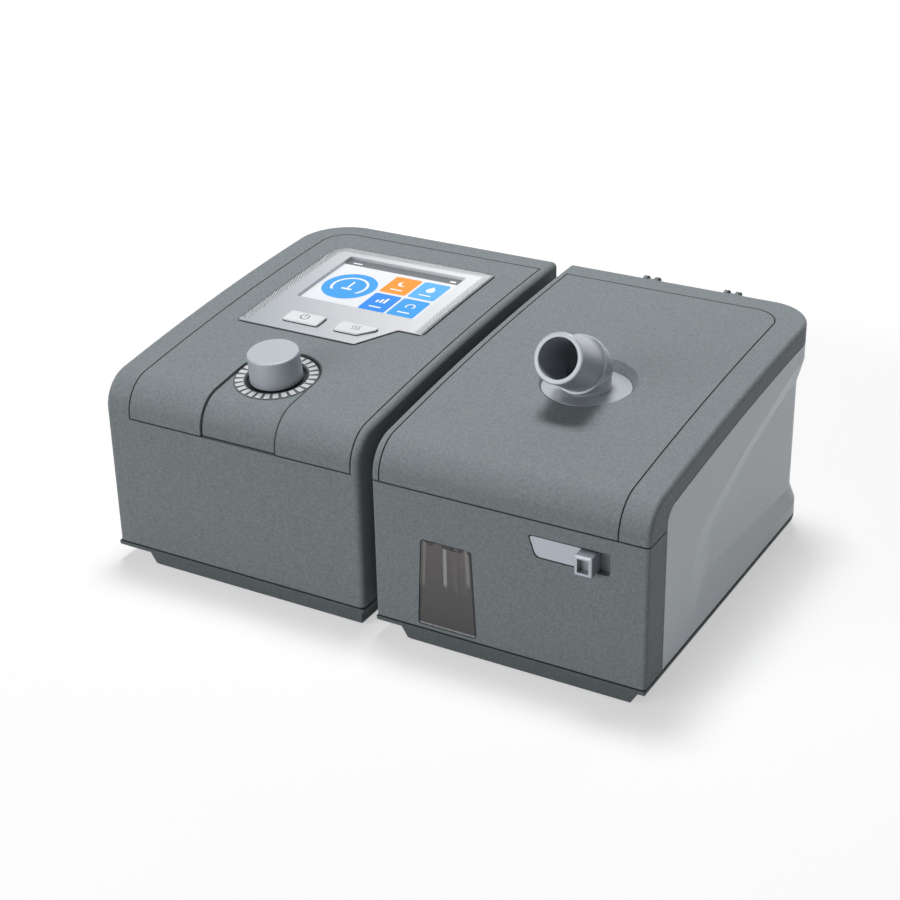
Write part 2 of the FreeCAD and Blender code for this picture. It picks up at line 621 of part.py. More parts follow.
def tray(case, plinth):
    """Base tray: rim flush with the case, lip inside it, hollow plinth, screw bosses."""
    floor = TRAY_BOTTOM + WALL
    foot = plinth_form(case, plinth, 0.0, PLINTH_BOTTOM, floor)
    body = fused([tray_rim(case), case_plan(case, WALL + FIT, TRAY_BOTTOM, TRAY_TOP + LIP_HEIGHT), foot])
    body = body.cut(case_plan(case, WALL + FIT + LIP_WALL, floor, FAR))
    body = body.cut(plinth_form(case, plinth, WALL, PLINTH_BOTTOM + WALL, floor))
    bosses = [rod(TRAY_BOSS_RADIUS, (x, y, PLINTH_BOTTOM), (x, y, TRAY_TOP))
              for x, y in screw_places(case)]
    solid = fused([case_plan(case, PLINTH_FRONT, TRAY_BOTTOM, FAR), foot])
    body = fused([body] + [boss.common(solid) for boss in bosses])
    for x, y in screw_places(case):
        body = body.cut(rod(SCREW_HEAD_RADIUS + FIT, (x, y, 0), (x, y, SCREW_SEAT)))
        body = body.cut(rod(SCREW_RADIUS + FIT, (x, y, 0), (x, y, FAR)))
    for x, y in foot_places(plinth):
        body = body.cut(rod(FOOT_RADIUS + FIT, (x, y, 0), (x, y, PLINTH_BOTTOM + FOOT_SEAT)))
    return body


def feet(plinth):
    """Four rubber pads that stand in the plinth's seats."""
    pads = []
    for x, y in foot_places(plinth):
        pad = rod(FOOT_RADIUS, (x, y, 0), (x, y, PLINTH_BOTTOM + FOOT_SEAT))
        lowest = [edge for edge in pad.Edges if edge.BoundBox.ZMax < 1e-6]
        pads.append(pad.makeChamfer(FOOT_CHAMFER, lowest))
    return Part.makeCompound(pads)


def case_screws(case):
    """Screws from below that hold tray and housing together."""
    screws = []
    for x, y in screw_places(case):
        head = rod(SCREW_HEAD_RADIUS, (x, y, SCREW_SEAT - SCREW_HEAD), (x, y, SCREW_SEAT))
        shank = rod(SCREW_RADIUS, (x, y, SCREW_SEAT), (x, y, BOSS_TOP - FIT))
        slot = box(x - SCREW_SLOT, x + SCREW_SLOT, y - SCREW_HEAD_RADIUS, y + SCREW_HEAD_RADIUS,
                   0, SCREW_SEAT - SCREW_HEAD / 2)
        screws.append(head.fuse(shank).cut(slot).removeSplitter())
    return Part.makeCompound(screws)


def housing_bosses(case):
    """Screw bosses of a housing, each tied to the nearest side wall by a rib."""
    shapes = []
    for x, y in screw_places(case):
        wall_x = case.x0 + WALL / 2 if x - case.x0 < case.x1 - x else case.x1 - WALL / 2
        boss = rod(BOSS_RADIUS, (x, y, TRAY_TOP), (x, y, BOSS_TOP + WALL))
        rib = box(min(x, wall_x), max(x, wall_x), y - RIB / 2, y + RIB / 2,
                  TRAY_TOP + LIP_HEIGHT + FIT, BOSS_TOP + WALL)
        shapes.append(fused([boss, rib]).cut(
            rod(SCREW_RADIUS + RUNNING, (x, y, 0), (x, y, BOSS_TOP))))
    return shapes


# ------------------------------------------------------------------ main unit: housing and base
def main_housing():
    body = case_form(MAIN, TRAY_TOP).cut(case_room(MAIN, MAIN_PANEL_SEAM, TRAY_TOP - 1))
    body = let_in(body, MAIN, MAIN_PANEL_SEAM)
    body = fused([body] + housing_bosses(MAIN) + [filter_tunnel()])
    outer = box(FILTER_X - FILTER_WIDTH / 2, FILTER_X + FILTER_WIDTH / 2, BACK_Y - TUNNEL_DEPTH,
                BACK_Y + 1, FILTER_CENTRE_HEIGHT - FILTER_HEIGHT / 2,
                FILTER_CENTRE_HEIGHT + FILTER_HEIGHT / 2)
    inner = box(FILTER_X - FILTER_WIDTH / 2 + FILTER_STOP, FILTER_X + FILTER_WIDTH / 2 - FILTER_STOP,
                BACK_Y - TUNNEL_DEPTH - WALL - 1, BACK_Y,
                FILTER_CENTRE_HEIGHT - FILTER_HEIGHT / 2 + FILTER_STOP,
                FILTER_CENTRE_HEIGHT + FILTER_HEIGHT / 2 - FILTER_STOP)
    body = body.cut(outer).cut(inner)
    body = body.cut(rod(JACK_NOSE + FIT, (JACK_X, BACK_Y - WALL - 1, JACK_HEIGHT),
                        (JACK_X, BACK_Y + 1, JACK_HEIGHT)))
    body = body.cut(rod(PORT_BORE + SPIGOT_WALL + PORT_CLEAR,
                        (MAIN_X1 - WALL - 1, PORT_Y, PORT_HEIGHT), (MAIN_X1 + 1, PORT_Y, PORT_HEIGHT)))
    for tongue in dock_tongues(FIT):
        body = body.cut(tongue)
    return body


def filter_tunnel():
    """Walls of the filter's pocket behind the back wall."""
    return box(FILTER_X - FILTER_WIDTH / 2 - WALL, FILTER_X + FILTER_WIDTH / 2 + WALL,
               BACK_Y - TUNNEL_DEPTH - WALL, BACK_Y - WALL / 2,
               FILTER_CENTRE_HEIGHT - FILTER_HEIGHT / 2 - WALL,
               FILTER_CENTRE_HEIGHT + FILTER_HEIGHT / 2 + WALL)


def inlet_filter():
    """Foam pad against the stop at the bottom of its pocket."""
    y0 = BACK_Y - TUNNEL_DEPTH
    return box(FILTER_X - FILTER_WIDTH / 2 + FIT, FILTER_X + FILTER_WIDTH / 2 - FIT,
               y0, y0 + FILTER_DEPTH, FILTER_CENTRE_HEIGHT - FILTER_HEIGHT / 2 + FIT,
               FILTER_CENTRE_HEIGHT + FILTER_HEIGHT / 2 - FIT)


def filter_cover():
    """Grille flush with the back wall; its rim holds the foam pad."""
    half_x = FILTER_WIDTH / 2 - FIT
    half_z = FILTER_HEIGHT / 2 - FIT
    y0 = BACK_Y - TUNNEL_DEPTH + FILTER_DEPTH
    middle = FILTER_CENTRE_HEIGHT
    body = box(FILTER_X - half_x, FILTER_X + half_x, y0, BACK_Y, middle - half_z, middle + half_z)
    body = body.cut(box(FILTER_X - half_x + COVER_RIM, FILTER_X + half_x - COVER_RIM, y0,
                        BACK_Y - COVER_PLATE, middle - half_z + COVER_RIM,
                        middle + half_z - COVER_RIM))
    pitch = (2 * half_z - 2 * COVER_RIM - GRILLE_BAR) / GRILLE_COUNT
    for i in range(GRILLE_COUNT):
        z = middle - half_z + COVER_RIM + GRILLE_BAR + i * pitch
        body = body.cut(box(FILTER_X - half_x + 2 * COVER_RIM, FILTER_X + half_x - 2 * COVER_RIM,
                            y0, BACK_Y + 1, z, z + pitch - GRILLE_BAR))
    return body


def power_inlet():
    """Low-voltage socket: square body inside the wall, round nose, centre pin."""
    y1 = BACK_Y - WALL
    half = JACK_SIZE / 2
    body = fused([box(JACK_X - half, JACK_X + half, y1 - JACK_LENGTH, y1,
                      JACK_HEIGHT - half, JACK_HEIGHT + half),
                  rod(JACK_NOSE, (JACK_X, y1, JACK_HEIGHT), (JACK_X, BACK_Y - FIT, JACK_HEIGHT))])
    start = (JACK_X, BACK_Y - JACK_BORE_DEPTH, JACK_HEIGHT)
    body = body.cut(rod(JACK_BORE, start, (JACK_X, BACK_Y + 1, JACK_HEIGHT)))
    return body.fuse(rod(JACK_PIN, start, (JACK_X, BACK_Y - WALL, JACK_HEIGHT)))


def main_base():
    """Tray with the posts of the blower's rubber mounts and of the main board."""
    body = tray(MAIN, MAIN_PLINTH)
    floor = PLINTH_BOTTOM + WALL / 2
    posts = [rod(GROMMET_RADIUS, (x, y, floor), (x, y, MOUNT_Z)) for x, y in mount_places()]
    pins = [rod(POST_RADIUS, (x, y, MOUNT_Z - 1), (x, y, MOUNT_Z + GROMMET_HEIGHT + EAR_PLATE))
            for x, y in mount_places()]
    board = [rod(BOSS_RADIUS, (x, y, floor), (x, y, MAIN_BOARD_HEIGHT)) for x, y in board_places()]
    return fused([body] + posts + pins + board)


def board_places():
    x0, x1, y0, y1 = MAIN_BOARD
    return [(x, y) for x in (x0 + BOARD_MARGIN, x1 - BOARD_MARGIN)
            for y in (y0 + BOARD_MARGIN, y1 - BOARD_MARGIN)]


def main_board():
    """Power and motor board on its posts, with its larger components as one piece with it."""
    x0, x1, y0, y1 = MAIN_BOARD
    top = MAIN_BOARD_HEIGHT + BOARD_THICKNESS
    middle = (y0 + y1) / 2
    parts = [box(x0, x1, y0, y1, MAIN_BOARD_HEIGHT, top)]
    for i, (size, height) in enumerate(MAIN_BOARD_CHIPS):
        x = x0 + (i + 1) * (x1 - x0) / (len(MAIN_BOARD_CHIPS) + 1)
        parts.append(box(x - size / 2, x + size / 2, middle - size / 2, middle + size / 2,
                         top - BOARD_THICKNESS / 2, top + height))
    return fused(parts)


# ------------------------------------------------------------------ top panel, dial
def dial_frame():
    return surface_frame(DIAL_X, DIAL_Y)


def dial_rod(radius, z0, z1):
    return placed(rod(radius, (0, 0, z0), (0, 0, z1)), dial_frame())


def tongue_plan(radius):
    """Round end about the dial, straight sides down to the front."""
    strip = box(DIAL_X - radius, DIAL_X + radius, MAIN_FRONT_Y - 1, DIAL_Y, 0, FAR)
    return fused([strip, rod(radius, (DIAL_X, DIAL_Y, 0), (DIAL_X, DIAL_Y, FAR))])


def tongue_cut():
    """The sunk tongue and the fine groove along its edge."""
    seam = MAIN_PANEL_SEAM - 1
    sunk = skin(MAIN_X0, MAIN_X1, MAIN_FRONT_Y, -1.0, TONGUE_DEPTH, seam)
    deep = skin(MAIN_X0, MAIN_X1, MAIN_FRONT_Y, -1.0, TONGUE_DEPTH + TONGUE_GROOVE, seam)
    edge = tongue_plan(TONGUE_RADIUS).cut(tongue_plan(TONGUE_RADIUS - SEAM))
    return fused([sunk.common(tongue_plan(TONGUE_RADIUS)), deep.common(edge)])


def top_panel():
    """Curved lid of the main unit with the dial's well and the display's seat."""
    body = panel_sheet(MAIN, MAIN_PANEL_SEAM, 0.0, 0.0, PANEL_THICKNESS)
    body = body.cut(tongue_cut())
    well_floor = -TONGUE_DEPTH - WELL_DEPTH
    body = body.fuse(dial_rod(WELL_RADIUS + WALL, -PAD_DEPTH, -TONGUE_DEPTH - TICK_SEAT))
    body = body.cut(dial_rod(WELL_RADIUS, well_floor, 1)).cut(
        dial_rod(BUSH_RADIUS + FIT, -PAD_DEPTH - 1, 1))
    seat = ring(TICK_RING_OUTER + FIT / 2, TICK_RING_INNER - FIT / 2,
                (0, 0, -TONGUE_DEPTH - TICK_SEAT), (0, 0, 1))
    body = body.cut(placed(seat, dial_frame()))
    under = skin(MAIN_X0, MAIN_X1, MAIN_FRONT_Y, -1.0, BEZEL_SEAT, MAIN_PANEL_SEAM)
    body = body.cut(under.common(bezel_prism(FIT)))
    body = body.cut(screen_prism(GLASS_BORDER + FIT))
    body = fused([body] + board_bosses())
    for button in BUTTONS:
        body = body.cut(button_cap(button, BUTTON_GAP, -BOARD_DEPTH, BUTTON_PROUD + 1))
    return body


def dial_tick_ring():
    """Scale ring round the dial: flat ring with raised ticks."""
    low = -TONGUE_DEPTH - TICK_SEAT
    body = ring(TICK_RING_OUTER, TICK_RING_INNER, (0, 0, low), (0, 0, -TONGUE_DEPTH))
    ticks = []
    for i in range(TICK_COUNT):
        tick = box(TICK_INNER, TICK_OUTER, -TICK_WIDTH / 2, TICK_WIDTH / 2,
                   -TONGUE_DEPTH - TICK_SEAT / 2, TICK_PROUD - TONGUE_DEPTH)
        tick.rotate(V(0, 0, 0), UP, (i + 0.5) * 360.0 / TICK_COUNT)
        ticks.append(tick)
    return placed(fused([body] + ticks), dial_frame())


def encoder_body():
    """Rotary encoder below the dial, with its threaded bush."""
    half = ENCODER_SIZE / 2
    body = fused([box(-half, half, -half, half, -PAD_DEPTH - ENCODER_DEPTH, -PAD_DEPTH),
                  rod(BUSH_RADIUS, (0, 0, -PAD_DEPTH), (0, 0, BUSH_TOP))])
    body = body.cut(rod(SPINDLE_RADIUS + RUNNING, (0, 0, SPINDLE_BOTTOM), (0, 0, 1)))
    return placed(body, dial_frame())


def encoder_spindle():
    """Turning spindle with a flat for the knob."""
    body = rod(SPINDLE_RADIUS, (0, 0, SPINDLE_BOTTOM), (0, 0, SPINDLE_TOP))
    flat = box(-FLAT_SIDE, FLAT_SIDE, SPINDLE_FLAT, FLAT_SIDE, HUB_BOTTOM - 1, SPINDLE_TOP + 1)
    return placed(body.cut(flat), dial_frame())


def knob():
    """Cupped dial with a D-shaped bore that slides on the spindle's flat."""
    low = -TONGUE_DEPTH
    body = cone(DIAL_RADIUS, DIAL_TOP_RADIUS, (0, 0, low), (0, 0, DIAL_HEIGHT))
    top = [edge for edge in body.Edges if edge.BoundBox.ZMin > DIAL_HEIGHT - 1e-6]
    body = body.makeFillet(DIAL_EDGE, top)
    body = body.cut(rod(DIAL_TOP_RADIUS - DIAL_WALL, (0, 0, low - 1), (0, 0, DIAL_HEIGHT - DIAL_WALL)))
    hub = rod(HUB_RADIUS, (0, 0, HUB_BOTTOM), (0, 0, DIAL_HEIGHT - DIAL_WALL / 2))
    bore = rod(SPINDLE_RADIUS + RUNNING, (0, 0, HUB_BOTTOM - 1),
               (0, 0, SPINDLE_TOP + DIAL_TRAVEL + FIT))
    flat = box(-FLAT_SIDE, FLAT_SIDE, SPINDLE_FLAT + RUNNING, FLAT_SIDE, low, DIAL_HEIGHT)
    return placed(fused([body, hub.cut(bore.cut(flat))]), dial_frame())


# ------------------------------------------------------------------ display and buttons
def bezel_prism(grow):
    """Outline of the display's bezel, its lower edge stepped back on the right."""
    x0, x1 = BEZEL_X1 - BEZEL_WIDTH, BEZEL_X1
    y0 = FRONT_Y + BEZEL_FRONT
    y1 = y0 + BEZEL_LENGTH
    step_x = x1 - BEZEL_STEP_FROM_RIGHT
    points = [(x0, y0), (step_x - BEZEL_STEP_RUN, y0), (step_x, y0 + BEZEL_STEP),
              (x1, y0 + BEZEL_STEP), (x1, y1), (x0, y1)]
    small = BEZEL_SMALL_CORNER
    return grown_prism(points, [small, small, small, small, small, BEZEL_CORNER], grow, 0, FAR)


def screen_prism(grow):
    x1 = BEZEL_X1 - SCREEN_FROM_RIGHT + grow
    x0 = x1 - SCREEN_WIDTH - 2 * grow
    y1 = FRONT_Y + BEZEL_FRONT + BEZEL_LENGTH - SCREEN_FROM_BACK + grow
    y0 = y1 - SCREEN_LENGTH - 2 * grow
    return plan_box(x0, x1, y0, y1, 0, FAR, [SCREEN_CORNER] * 4)


def button_frame(button):
    return surface_frame(BEZEL_X1 - button[0] - BUTTON_WIDTH / 2,
                         FRONT_Y + BUTTON_FRONT + BUTTON_LENGTH / 2)


def button_cap(button, grow, z0, z1):
    """Prism over a button's outline, along its own press direction."""
    half_x, half_y = BUTTON_WIDTH / 2, BUTTON_LENGTH / 2
    cut = button[1]
    points = [(-half_x, -half_y), (half_x, -half_y), (half_x, half_y), (-half_x, half_y)]
    if cut:
        points[1:2] = [(half_x - cut, -half_y), (half_x, cut - half_y)]
    return placed(grown_prism(points, [BUTTON_CORNER] * len(points), grow, z0, z1),
                  button_frame(button))


def switch_height(button):
    """Top of a button's switch, in the button's own frame."""
    centre = button_frame(button).Base
    local = board_frame().inverse().multVec(centre)
    top = board_frame().multVec(V(local.x, local.y, SWITCH_HEIGHT - BOARD_DEPTH))
    return button_frame(button).inverse().multVec(top).z


def button_piece(button):
    """Cap through bezel and panel, flange below the panel, stem down to the switch."""
    flange_top = -PANEL_THICKNESS - FIT
    cap = button_cap(button, 0.0, flange_top - BUTTON_FLANGE / 2, BEZEL_PROUD + BUTTON_PROUD)
    rim = [edge for edge in cap.Edges if edge.CenterOfMass.z > button_frame(button).Base.z + 1]
    cap = cap.makeFillet(BUTTON_EDGE, rim)
    flange = button_cap(button, BUTTON_GAP + BUTTON_LAP, flange_top - BUTTON_FLANGE, flange_top)
    foot = switch_height(button) + BUTTON_TRAVEL + FIT
    stem = placed(rod(STEM_RADIUS, (0, 0, foot), (0, 0, flange_top)), button_frame(button))
    return fused([cap, flange, stem])


def display_bezel():
    sheet = skin(MAIN_X0, MAIN_X1, MAIN_FRONT_Y, -BEZEL_PROUD, BEZEL_SEAT, MAIN_PANEL_SEAM)
    body = sheet.common(bezel_prism(0.0)).cut(screen_prism(0.0))
    for button in BUTTONS:
        body = body.cut(button_cap(button, BUTTON_GAP, -BOARD_DEPTH, BUTTON_PROUD + 1))
    return body


def display_window():
    sheet = skin(MAIN_X0, MAIN_X1, MAIN_FRONT_Y, BEZEL_SEAT, BEZEL_SEAT + GLASS, MAIN_PANEL_SEAM)
    return sheet.common(screen_prism(GLASS_BORDER))


def board_frame():
    return surface_frame(BEZEL_X1 - SCREEN_FROM_RIGHT - SCREEN_WIDTH / 2, SCREEN_Y)


def board_box(x, y0, y1, z0, z1):
    """Box in the display's flat frame, centred in X."""
    return placed(box(-x, x, y0, y1, z0, z1), board_frame())


def lcd_module():
    half_y = SCREEN_LENGTH / 2 + GLASS_BORDER
    return board_box(SCREEN_WIDTH / 2 + GLASS_BORDER, -half_y, half_y, LCD_TOP - LCD_THICKNESS, LCD_TOP)


def lcd_carrier():
    """Frame that carries the display module above its board."""
    x, y = SCREEN_WIDTH / 2 + GLASS_BORDER, SCREEN_LENGTH / 2 + GLASS_BORDER
    z1 = LCD_TOP - LCD_THICKNESS
    outer = board_box(x, -y, y, -BOARD_DEPTH, z1)
    return outer.cut(board_box(x - WALL, WALL - y, y - WALL, -BOARD_DEPTH - 1, z1 + 1))


def control_board():
    return board_box(BOARD_HALF_WIDTH, -BOARD_FRONT, BOARD_BACK,
                     -BOARD_DEPTH - BOARD_THICKNESS, -BOARD_DEPTH)


def board_bosses():
    """Four bosses from the panel's underside down to the board."""
    inside = under_profile(MAIN_X0, MAIN_X1, MAIN_FRONT_Y + PANEL_THICKNESS,
                           FRONT_RADIUS - PANEL_THICKNESS, PANEL_THICKNESS - FIT, 0)
    bosses = []
    for x in (-BOARD_HALF_WIDTH + BOARD_MARGIN, BOARD_HALF_WIDTH - BOARD_MARGIN):
        for y in (-BOARD_FRONT + BOARD_MARGIN, BOARD_BACK - BOARD_MARGIN):
            boss = placed(rod(BOARD_BOSS, (x, y, -BOARD_DEPTH), (x, y, 0)), board_frame())
            bosses.append(boss.common(inside))
    return bosses


def button_switches():
    """Tact switches on the control board, one under each button."""
    half = SWITCH_SIZE / 2
    switches = []
    for button in BUTTONS:
        local = board_frame().inverse().multVec(button_frame(button).Base)
        low, high = -BOARD_DEPTH, SWITCH_HEIGHT - BOARD_DEPTH
        body = box(local.x - half, local.x + half, local.y - half, local.y + half,
                   low, high - SWITCH_PLUNGER)
        plunger = rod(STEM_RADIUS, (local.x, local.y, low), (local.x, local.y, high))
        switches.append(placed(fused([body, plunger]), board_frame()))
    return Part.makeCompound(switches)


# ------------------------------------------------------------------ blower
def volute_form(grow, z0, z1):
    """Spiral of four arcs whose centres step round a small square, with its outlet duct."""
    step = VOLUTE_GROWTH / 4
    x, y = BLOWER_X, BLOWER_Y
    centres = [(x + step / 2, y + step / 2), (x - step / 2, y + step / 2),
               (x - step / 2, y - step / 2), (x + step / 2, y - step / 2)]
    radii = [VOLUTE_RADIUS - step / 2 - i * step + grow for i in range(4)]
    duct_low = PORT_Y - PORT_BORE - grow
    rise = math.asin((duct_low - centres[3][1]) / radii[3])
    angles = [(90, 180), (180, 270), (270, 360), (0, math.degrees(rise))]
    edges = []
    for (cx, cy), radius, (a0, a1) in zip(centres, radii, angles):
        spots = [V(cx + radius * math.cos(math.radians(a)), cy + radius * math.sin(math.radians(a)),
                   z0) for a in (a0, (a0 + a1) / 2, a1)]
        edges.append(Part.Arc(*spots).toShape())
    cutoff = spots[2]
    top = V(centres[0][0], centres[0][1] + radii[0], z0)
    end = VOLUTE_END
    edges.append(Part.LineSegment(cutoff, V(end, cutoff.y, z0)).toShape())
    edges.append(Part.LineSegment(V(end, cutoff.y, z0), V(end, top.y, z0)).toShape())
    edges.append(Part.LineSegment(V(end, top.y, z0), top).toShape())
    return Part.Face(Part.Wire(edges)).extrude(V(0, 0, z1 - z0))


def volute_shell():
    """Whole blower casing before it is split into base and cover."""
    top = BLOWER_BOTTOM + 2 * VOLUTE_WALL + VOLUTE_HEIGHT
    tube = (TUBE_END, PORT_Y, PORT_HEIGHT)
    body = fused([volute_form(VOLUTE_WALL, BLOWER_BOTTOM, top),
                  rod(PORT_BORE + SPIGOT_WALL, (VOLUTE_END, PORT_Y, PORT_HEIGHT), tube)])
    ears = [box(-GROMMET_RADIUS, MOUNT_RADIUS, -GROMMET_RADIUS - WALL, GROMMET_RADIUS + WALL,
                0, EAR_PLATE).fuse(rod(GROMMET_RADIUS + WALL, (MOUNT_RADIUS, 0, 0),
                                       (MOUNT_RADIUS, 0, EAR_PLATE))) for _ in MOUNT_ANGLES]
    for ear, angle in zip(ears, MOUNT_ANGLES):
        ear.rotate(V(0, 0, 0), UP, angle)
        ear.translate(V(BLOWER_X, BLOWER_Y, BLOWER_BOTTOM))
    body = fused([body] + ears)
    inside = volute_form(0.0, BLOWER_BOTTOM + VOLUTE_WALL, top - VOLUTE_WALL)
    inside = inside.fuse(rod(PORT_BORE, (VOLUTE_END - VOLUTE_WALL, PORT_Y, PORT_HEIGHT),
                             (TUBE_END + 1, PORT_Y, PORT_HEIGHT)))
    end_wall = box(VOLUTE_END - VOLUTE_WALL, VOLUTE_END, BLOWER_Y, BACK_Y, BLOWER_BOTTOM, top)
    tube_way = rod(PORT_BORE, (VOLUTE_END - 2 * VOLUTE_WALL, PORT_Y, PORT_HEIGHT),
                   (TUBE_END + 1, PORT_Y, PORT_HEIGHT))
    body = body.cut(inside.cut(end_wall.cut(tube_way)))
    body = body.cut(rod(VOLUTE_INLET, (BLOWER_X, BLOWER_Y, top - VOLUTE_WALL - 1),
                        (BLOWER_X, BLOWER_Y, top + 1)))
    body = body.cut(rod(SHAFT_RADIUS + SHAFT_CLEAR, (BLOWER_X, BLOWER_Y, BLOWER_BOTTOM - 1),
                        (BLOWER_X, BLOWER_Y, BLOWER_BOTTOM + VOLUTE_WALL + 1)))
    for x, y in mount_places():
        body = body.cut(rod(GROMMET_NECK + FIT, (x, y, BLOWER_BOTTOM - 1),
                            (x, y, BLOWER_BOTTOM + EAR_PLATE)))
    return body


def mount_places():
    return [(BLOWER_X + MOUNT_RADIUS * math.cos(math.radians(a)),
             BLOWER_Y + MOUNT_RADIUS * math.sin(math.radians(a))) for a in MOUNT_ANGLES]


def volute_base():
    return volute_shell().common(box(-FAR, FAR, -FAR, FAR, 0, PORT_HEIGHT))


def volute_cover():
    return volute_shell().common(box(-FAR, FAR, -FAR, FAR, PORT_HEIGHT, FAR))


def blower_mounts():
    """Rubber mounts between the posts of the base and the ears of the volute."""
    mounts = []
    for x, y in mount_places():
        body = rod(GROMMET_RADIUS, (x, y, MOUNT_Z), (x, y, BLOWER_BOTTOM))
        body = body.fuse(rod(GROMMET_NECK, (x, y, MOUNT_Z), (x, y, BLOWER_BOTTOM + EAR_PLATE)))
        mounts.append(body.cut(rod(POST_RADIUS, (x, y, 0), (x, y, FAR))).removeSplitter())
    return Part.makeCompound(mounts)


def blower_motor():
    """Motor can below the volute, bored for its shaft."""
    low = BLOWER_BOTTOM - MOTOR_HEIGHT
    body = rod(MOTOR_RADIUS, (BLOWER_X, BLOWER_Y, low), (BLOWER_X, BLOWER_Y, BLOWER_BOTTOM))
    body = body.makeChamfer(MOTOR_CHAMFER, [e for e in body.Edges if e.BoundBox.ZMax < low + 1e-6])
    return body.cut(rod(SHAFT_RADIUS + RUNNING, (BLOWER_X, BLOWER_Y, SHAFT_BOTTOM),
                        (BLOWER_X, BLOWER_Y, BLOWER_BOTTOM + 1)))


def motor_shaft():
    top = IMPELLER_Z + IMPELLER_HEIGHT - FIT
    return rod(SHAFT_RADIUS, (BLOWER_X, BLOWER_Y, SHAFT_BOTTOM), (BLOWER_X, BLOWER_Y, top))


def impeller():
    """Back plate, hub and backward-curved blades."""
    plate = rod(IMPELLER_RADIUS, (0, 0, 0), (0, 0, BLADE_WALL))
    hub = cone(IMPELLER_HUB, IMPELLER_HUB / 2, (0, 0, 0), (0, 0, IMPELLER_HEIGHT))
    arc = IMPELLER_RADIUS * BLADE_CURVE
    shell = rod(arc, (0, arc, 0), (0, arc, IMPELLER_HEIGHT)).cut(
        rod(arc - BLADE_WALL, (0, arc, -1), (0, arc, FAR)))
    zone = ring(IMPELLER_RADIUS, IMPELLER_HUB - BLADE_WALL, (0, 0, 0), (0, 0, IMPELLER_HEIGHT))
    blade = shell.common(zone).common(box(0, FAR, -FAR, FAR, 0, FAR))
    blades = []
    for i in range(BLADE_COUNT):
        copy = blade.copy()
        copy.rotate(V(0, 0, 0), UP, i * 360.0 / BLADE_COUNT)
        blades.append(copy)
    body = fused([plate, hub] + blades).cut(rod(SHAFT_RADIUS, (0, 0, -1), (0, 0, FAR)))
    body.translate(V(BLOWER_X, BLOWER_Y, IMPELLER_Z))
    return body


def port_seal():
    """Rubber sleeve over the blower's tube that takes the humidifier's spigot."""
    outer = PORT_BORE + SPIGOT_WALL + SEAL_WALL
    x1 = MAIN_X1 - WALL
    body = fused([rod(outer, (x1 - SEAL_LENGTH, PORT_Y, PORT_HEIGHT), (x1, PORT_Y, PORT_HEIGHT)),
                  rod(outer + SEAL_WALL, (x1 - SEAL_WALL, PORT_Y, PORT_HEIGHT),
                      (x1, PORT_Y, PORT_HEIGHT))])
    return body.cut(rod(PORT_BORE + SPIGOT_WALL + RUNNING, (-FAR, PORT_Y, PORT_HEIGHT),
                        (FAR, PORT_Y, PORT_HEIGHT)))


# ------------------------------------------------------------------ humidifier: base and housing
def dock_tongues(grow):
    """Tongues on the humidifier that slide into slots in the main unit's side."""
    width, height, entry = TONGUE_DOCK
    return [box(MAIN_X1 - entry, HUMID_X0 + WALL / 2, y - width / 2 - grow, y + width / 2 + grow,
                DOCK_HEIGHT - height / 2 - grow, DOCK_HEIGHT + height / 2 + grow)
            for y in (FRONT_Y + d for d in DOCK_FROM_FRONT)]


def body_limit(gap):
    """Everything below the joint line between the humidifier's body and its lid."""
    high = under_profile(HUMID_X0 - 1, HUMID_X1 + 1, FRONT_Y + STRIP, STRIP_RADIUS,
                         LID_SKIRT - gap, 0, BACK_Y + HINGE_REACH)
    low = box(HUMID_X0 - 1, HUMID_X1 + 1, FRONT_Y - 1, BACK_Y + HINGE_REACH, 0, LID_SEAM + gap)
    return fused([high, low])


def side_zone(grow, z0):
    """Region of the side panel, from the dark front strip round the back corner."""
    return box(HUMID_X1 - CORNER_RADIUS - SIDE_WRAP - grow, HUMID_X1 + 1,
               FRONT_Y + STRIP - grow, BACK_Y + 1, z0, FAR)


def side_band(depth, grow, z0):
    """Band of the case along its right side and outer back corner, depth thick."""
    band = case_plan(HUMID, 0.0, z0, FAR).cut(case_plan(HUMID, depth, z0 - 1, FAR + 1))
    return band.common(side_zone(grow, z0))


def humidifier_base():
    """Tray of the humidifier; its lip is cut away at the side panel and at the window."""
    body = tray(HUMID, HUMID_PLINTH)
    body = body.cut(side_band(SIDE_DEPTH + WALL + FIT, WALL + FIT, TRAY_TOP))
    return body.cut(window_form(WINDOW_FLANGE + SEAM, FRONT_Y + WALL, FRONT_Y + 2 * WALL))


def humidifier_housing():
    body = case_form(HUMID, TRAY_TOP).common(body_limit(0.0))
    body = body.cut(side_band(SIDE_DEPTH, 0.0, TRAY_TOP - 1))
    room = case_plan(HUMID, WALL, TRAY_TOP - 1, FAR)
    body = body.cut(room.cut(side_band(SIDE_DEPTH + WALL, WALL, TRAY_TOP - 2)))
    body = fused([body, latch_backing()] + housing_bosses_right() + hinge_ears() + dock_tongues(0.0))
    body = body.cut(latch_pocket()).cut(window_form(FIT, FRONT_Y - 1, FRONT_Y + 2 * WALL))
    return body.cut(rod(PORT_BORE + SPIGOT_WALL + FIT, (HUMID_X0 - 1, PORT_Y, PORT_HEIGHT),
                        (HUMID_X0 + WALL + 1, PORT_Y, PORT_HEIGHT)))


def housing_bosses_right():
    """Screw bosses, with the right-hand ribs long enough for the set-in side wall."""
    shapes = housing_bosses(HUMID)
    return [shape.common(case_plan(HUMID, WALL / 2, 0, FAR)).cut(
        side_band(SIDE_DEPTH, 0.0, 0)) for shape in shapes]


